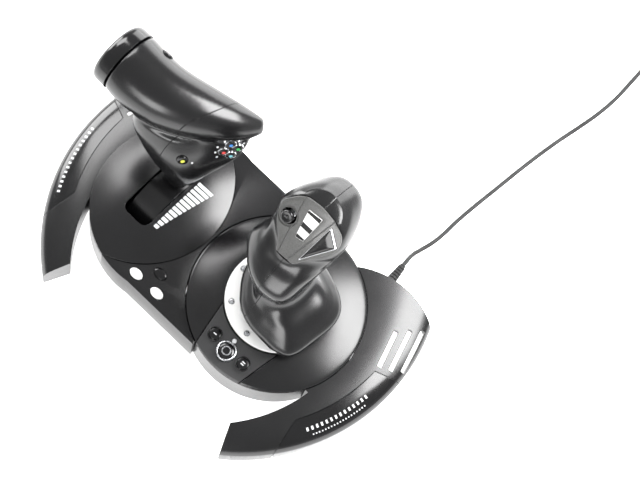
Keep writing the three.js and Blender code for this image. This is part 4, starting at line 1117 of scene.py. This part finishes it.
THUMB_AIM = Vector((0.74, -0.62, 0.26)).normalized()
REAR_AIM = Vector((0, 0.85, 0.5)).normalized()
PEG_BELOW, PEG_ABOVE = 7, 1.6
THUMB_KEYS = {
    "top": (3.9, MARK_BLUE), "bottom": (3.9, MARK_TEAL), "left": (3.9, MARK_RED), "right": (3.9, MARK_GREEN),
    "lower": (4.6, MARK_YELLOW),
}


def peg_frame(node, aim):
    """A frame where a CAD button's axis crosses the handle's skin."""
    return along(node_centre(node) + aim * (PEG_BELOW - PEG_ABOVE) / 2, aim)


def add_handle():
    outer = blended(handle_form("handle_skin", 0), 1.3, 36)
    holes = [disc("hole", 0, 0, -12, 6, radius + 0.4, 48, peg_frame(f"thumb_button_{name}", THUMB_AIM))
             for name, (radius, _) in THUMB_KEYS.items()]
    holes.append(disc("hole", 0, 0, -12, 6, 5.4, 48, peg_frame("rear_button", REAR_AIM)))
    tilt = Matrix.Translation((-112, 59, 132)) @ Matrix.Rotation(math.radians(14), 4, "Z")
    window = box("window", -18.5, 18.5, -13, 13, -6.5, 6.5, tilt)
    combine(outer, handle_form("hollow", 3.2), *holes, window)
    palm = combine(copy_of(outer), palm_region(0), how="INTERSECT")
    palm.name = "palm_shell"
    fit(palm, "lever", "satin_black", ["handle_palm_shell"])
    well = box("well", LEVER_X - 7, LEVER_X + 7, -5, 5, LEVER_Z + 36, LEVER_Z + 90, about_lever_axis())
    combine(outer, palm_region(0.45), well)
    outer.name = "thumb_shell"
    fit(outer, "lever", "satin_black", ["handle_thumb_shell"])
    return outer


def add_thumb_keys(shell):
    for name, (radius, mark) in THUMB_KEYS.items():
        node = f"thumb_button_{name}"
        place = peg_frame(node, THUMB_AIM)
        key = lathe(f"thumb_{name}_cap", button_profile(radius, -PEG_BELOW, PEG_ABOVE, 0.8), 0, 0, 56, place)
        fit(key, f"{name}_thumb_key", "gloss_black", [node])
        dot = disc(f"thumb_{name}_mark", 0, 0, PEG_ABOVE - 0.2, PEG_ABOVE + 0.34, radius * 0.42, 32, place)
        finish(dot, f"{name}_thumb_key", mark)
        if name != "lower":
            profile = ring_profile(radius + 0.42, radius + 1.0, -3, 0.9, 0.25)
            rim = lathe(f"thumb_{name}_rim", profile, 0, 0, 56, place)
            fit(rim, "lever", "chrome")
    tree = surface_of(shell)
    right = Vector((0.64, 0.77, 0)).normalized()
    upward = -right.cross(THUMB_AIM)
    centre = Vector((-58, 53, 118))
    spots = [(centre, -11.5, 5.5), (centre, -13.5, 0.2), (centre, -12, -5.5), (centre, 11.5, 3.5),
             (Vector((-80, 17, 116)), 8.2, -3.5)]
    for number, (origin, across, up) in enumerate(spots):
        start = origin + right * across + upward * up + THUMB_AIM * 60
        hit, normal, _, _ = tree.ray_cast(row(*start), -THUMB_AIM)
        if hit:
            place = along(Vector((hit.x / MM, hit.y / MM - PLAN_SHIFT, hit.z / MM)), normal)
            dot = disc(f"thumb_print_{number}", 0, 0, -0.2, 0.12, 1.0, 28, place)
            finish(dot, "lever", PRINT_SILVER)
    place = peg_frame("rear_button", REAR_AIM)
    rear = lathe("rear_cap", button_profile(5, -PEG_BELOW, PEG_ABOVE, 1), 0, 0, 56, place)
    fit(rear, "rear_key", "satin_black", ["rear_button"])


def add_end_cap():
    """The glossy end of the handle: a rounded lip and a shallow dish."""
    centre, heading, half = TUBE_STATIONS[0]
    stops = [(-162.3, 0.0), (-170, -0.1), (-173.4, 0.3), (-175.6, 1.3), (-177.2, 3.2),
             (-178.2, 5.6), (-178.5, 8.5), (-177.6, 11.5), (-176.4, 16)]
    rings = [station_ring(((x, centre[1], centre[2]), heading, (half[0] - shrink, half[1] - shrink)), 0)
             for x, shrink in stops]
    fit(loft("end_cap", rings), "lever", "gloss_black", ["handle_end_cap"], 50)


def add_shutter():
    """The smooth curved shutter below the slot; it swings with the lever."""
    start, end, steps = math.radians(SHUTTER["start"]), math.radians(SHUTTER["end"]), 48
    half = SHUTTER["width"] / 2
    low, high = SHUTTER["radius"] + 0.05, SHUTTER["radius"] + 0.4
    rings = []
    for i in range(steps + 1):
        angle = start + (end - start) * i / steps
        corners = [(-half, low), (half, low), (half, high), (-half, high)]
        across, up = math.cos(angle), math.sin(angle)
        rings.append([Vector((LEVER_X + x, r * across, LEVER_Z + r * up)) for x, r in corners])
    fit(loft("slot_shutter", rings), "lever", "satin_black")


handle_shell = add_handle()
add_shutter()
add_thumb_keys(handle_shell)
add_end_cap()


# ---- CAD nodes that show as they are ----
def dress_nodes():
    """Gives every carried-over CAD node its material and clean shading; the status lens is unlit."""
    for entry in frame["record"]["subparts"]:
        node = frame["nodes"].get(entry["node"])
        if node is None:
            continue
        for place in node.material_slots:
            unlit = entry["node"] == "status_lens"
            place.material = PRINT_SILVER if unlit else MATERIALS[entry["material_slot"]]
        node.data.shade_smooth()
        node.data.set_sharp_from_angle(angle=math.radians(32))


dress_nodes()


# ---- Floor and light ----
FLOOR_HALF = 6
LIGHTS = (
    ("right_back", (0.56, 0.7, 1.1), 0.85, 34, (0.03, 0.03, 0.04)),
    ("left", (-0.8, 0.4, 1.0), 0.6, 9, (-0.05, 0.0, 0.05)),
    ("low_left", (-1.2, 0.2, 0.5), 0.7, 14, (-0.05, 0.0, 0.08)),
    ("front", (0.25, -1.1, 0.8), 0.7, 10, (-0.05, 0.0, 0.08)),
    ("back", (-0.3, 1.6, 0.4), 1.2, 16, (-0.05, 0.0, 0.08)),
)


def add_world():
    """A studio that is bright all round near the horizon and dark overhead."""
    world = bpy.data.worlds.new("studio")
    world.use_nodes = True
    tree = world.node_tree
    coordinates = tree.nodes.new("ShaderNodeTexCoord")
    split = tree.nodes.new("ShaderNodeSeparateXYZ")
    fade = tree.nodes.new("ShaderNodeMapRange")
    fade.interpolation_type = "SMOOTHSTEP"
    for socket, value in (("From Min", 0.05), ("From Max", 0.5), ("To Min", 1.1), ("To Max", 0.55)):
        fade.inputs[socket].default_value = value
    tree.links.new(coordinates.outputs["Generated"], split.inputs["Vector"])
    tree.links.new(split.outputs["Z"], fade.inputs["Value"])
    tree.links.new(fade.outputs["Result"], tree.nodes["Background"].inputs["Strength"])
    tree.nodes["Background"].inputs["Color"].default_value = (1, 1, 1, 1)
    bpy.context.scene.world = world


def add_stage():
    mesh = bpy.data.meshes.new("floor")
    corners = [(x * FLOOR_HALF, y * FLOOR_HALF, 0) for x, y in ((-1, -1), (1, -1), (1, 1), (-1, 1))]
    mesh.from_pydata(corners, [], [(0, 1, 2, 3)])
    floor = new_object("floor", mesh)
    paper = Shader("paper", roughness=0.9, specular=0.1)
    paper.tint(paper.noise(3, 3), (0.9, 0.9, 0.9), (0.93, 0.93, 0.93))
    paper.set("Emission Color", (1, 1, 1, 1))
    paper.set("Emission Strength", 1.3)
    mesh.materials.append(paper.material)

    add_world()
    bpy.context.scene.view_settings.view_transform = "Standard"

    for name, place, size, power, target in LIGHTS:
        data = bpy.data.lights.new(name, "AREA")
        data.shape = "RECTANGLE"
        data.size = size
        data.size_y = size * 0.7
        data.energy = power
        lamp = new_object(name, data)
        lamp.location = place
        aim = Vector(target) - Vector(place)
        lamp.rotation_euler = aim.to_track_quat("-Z", "Y").to_euler()


add_stage()
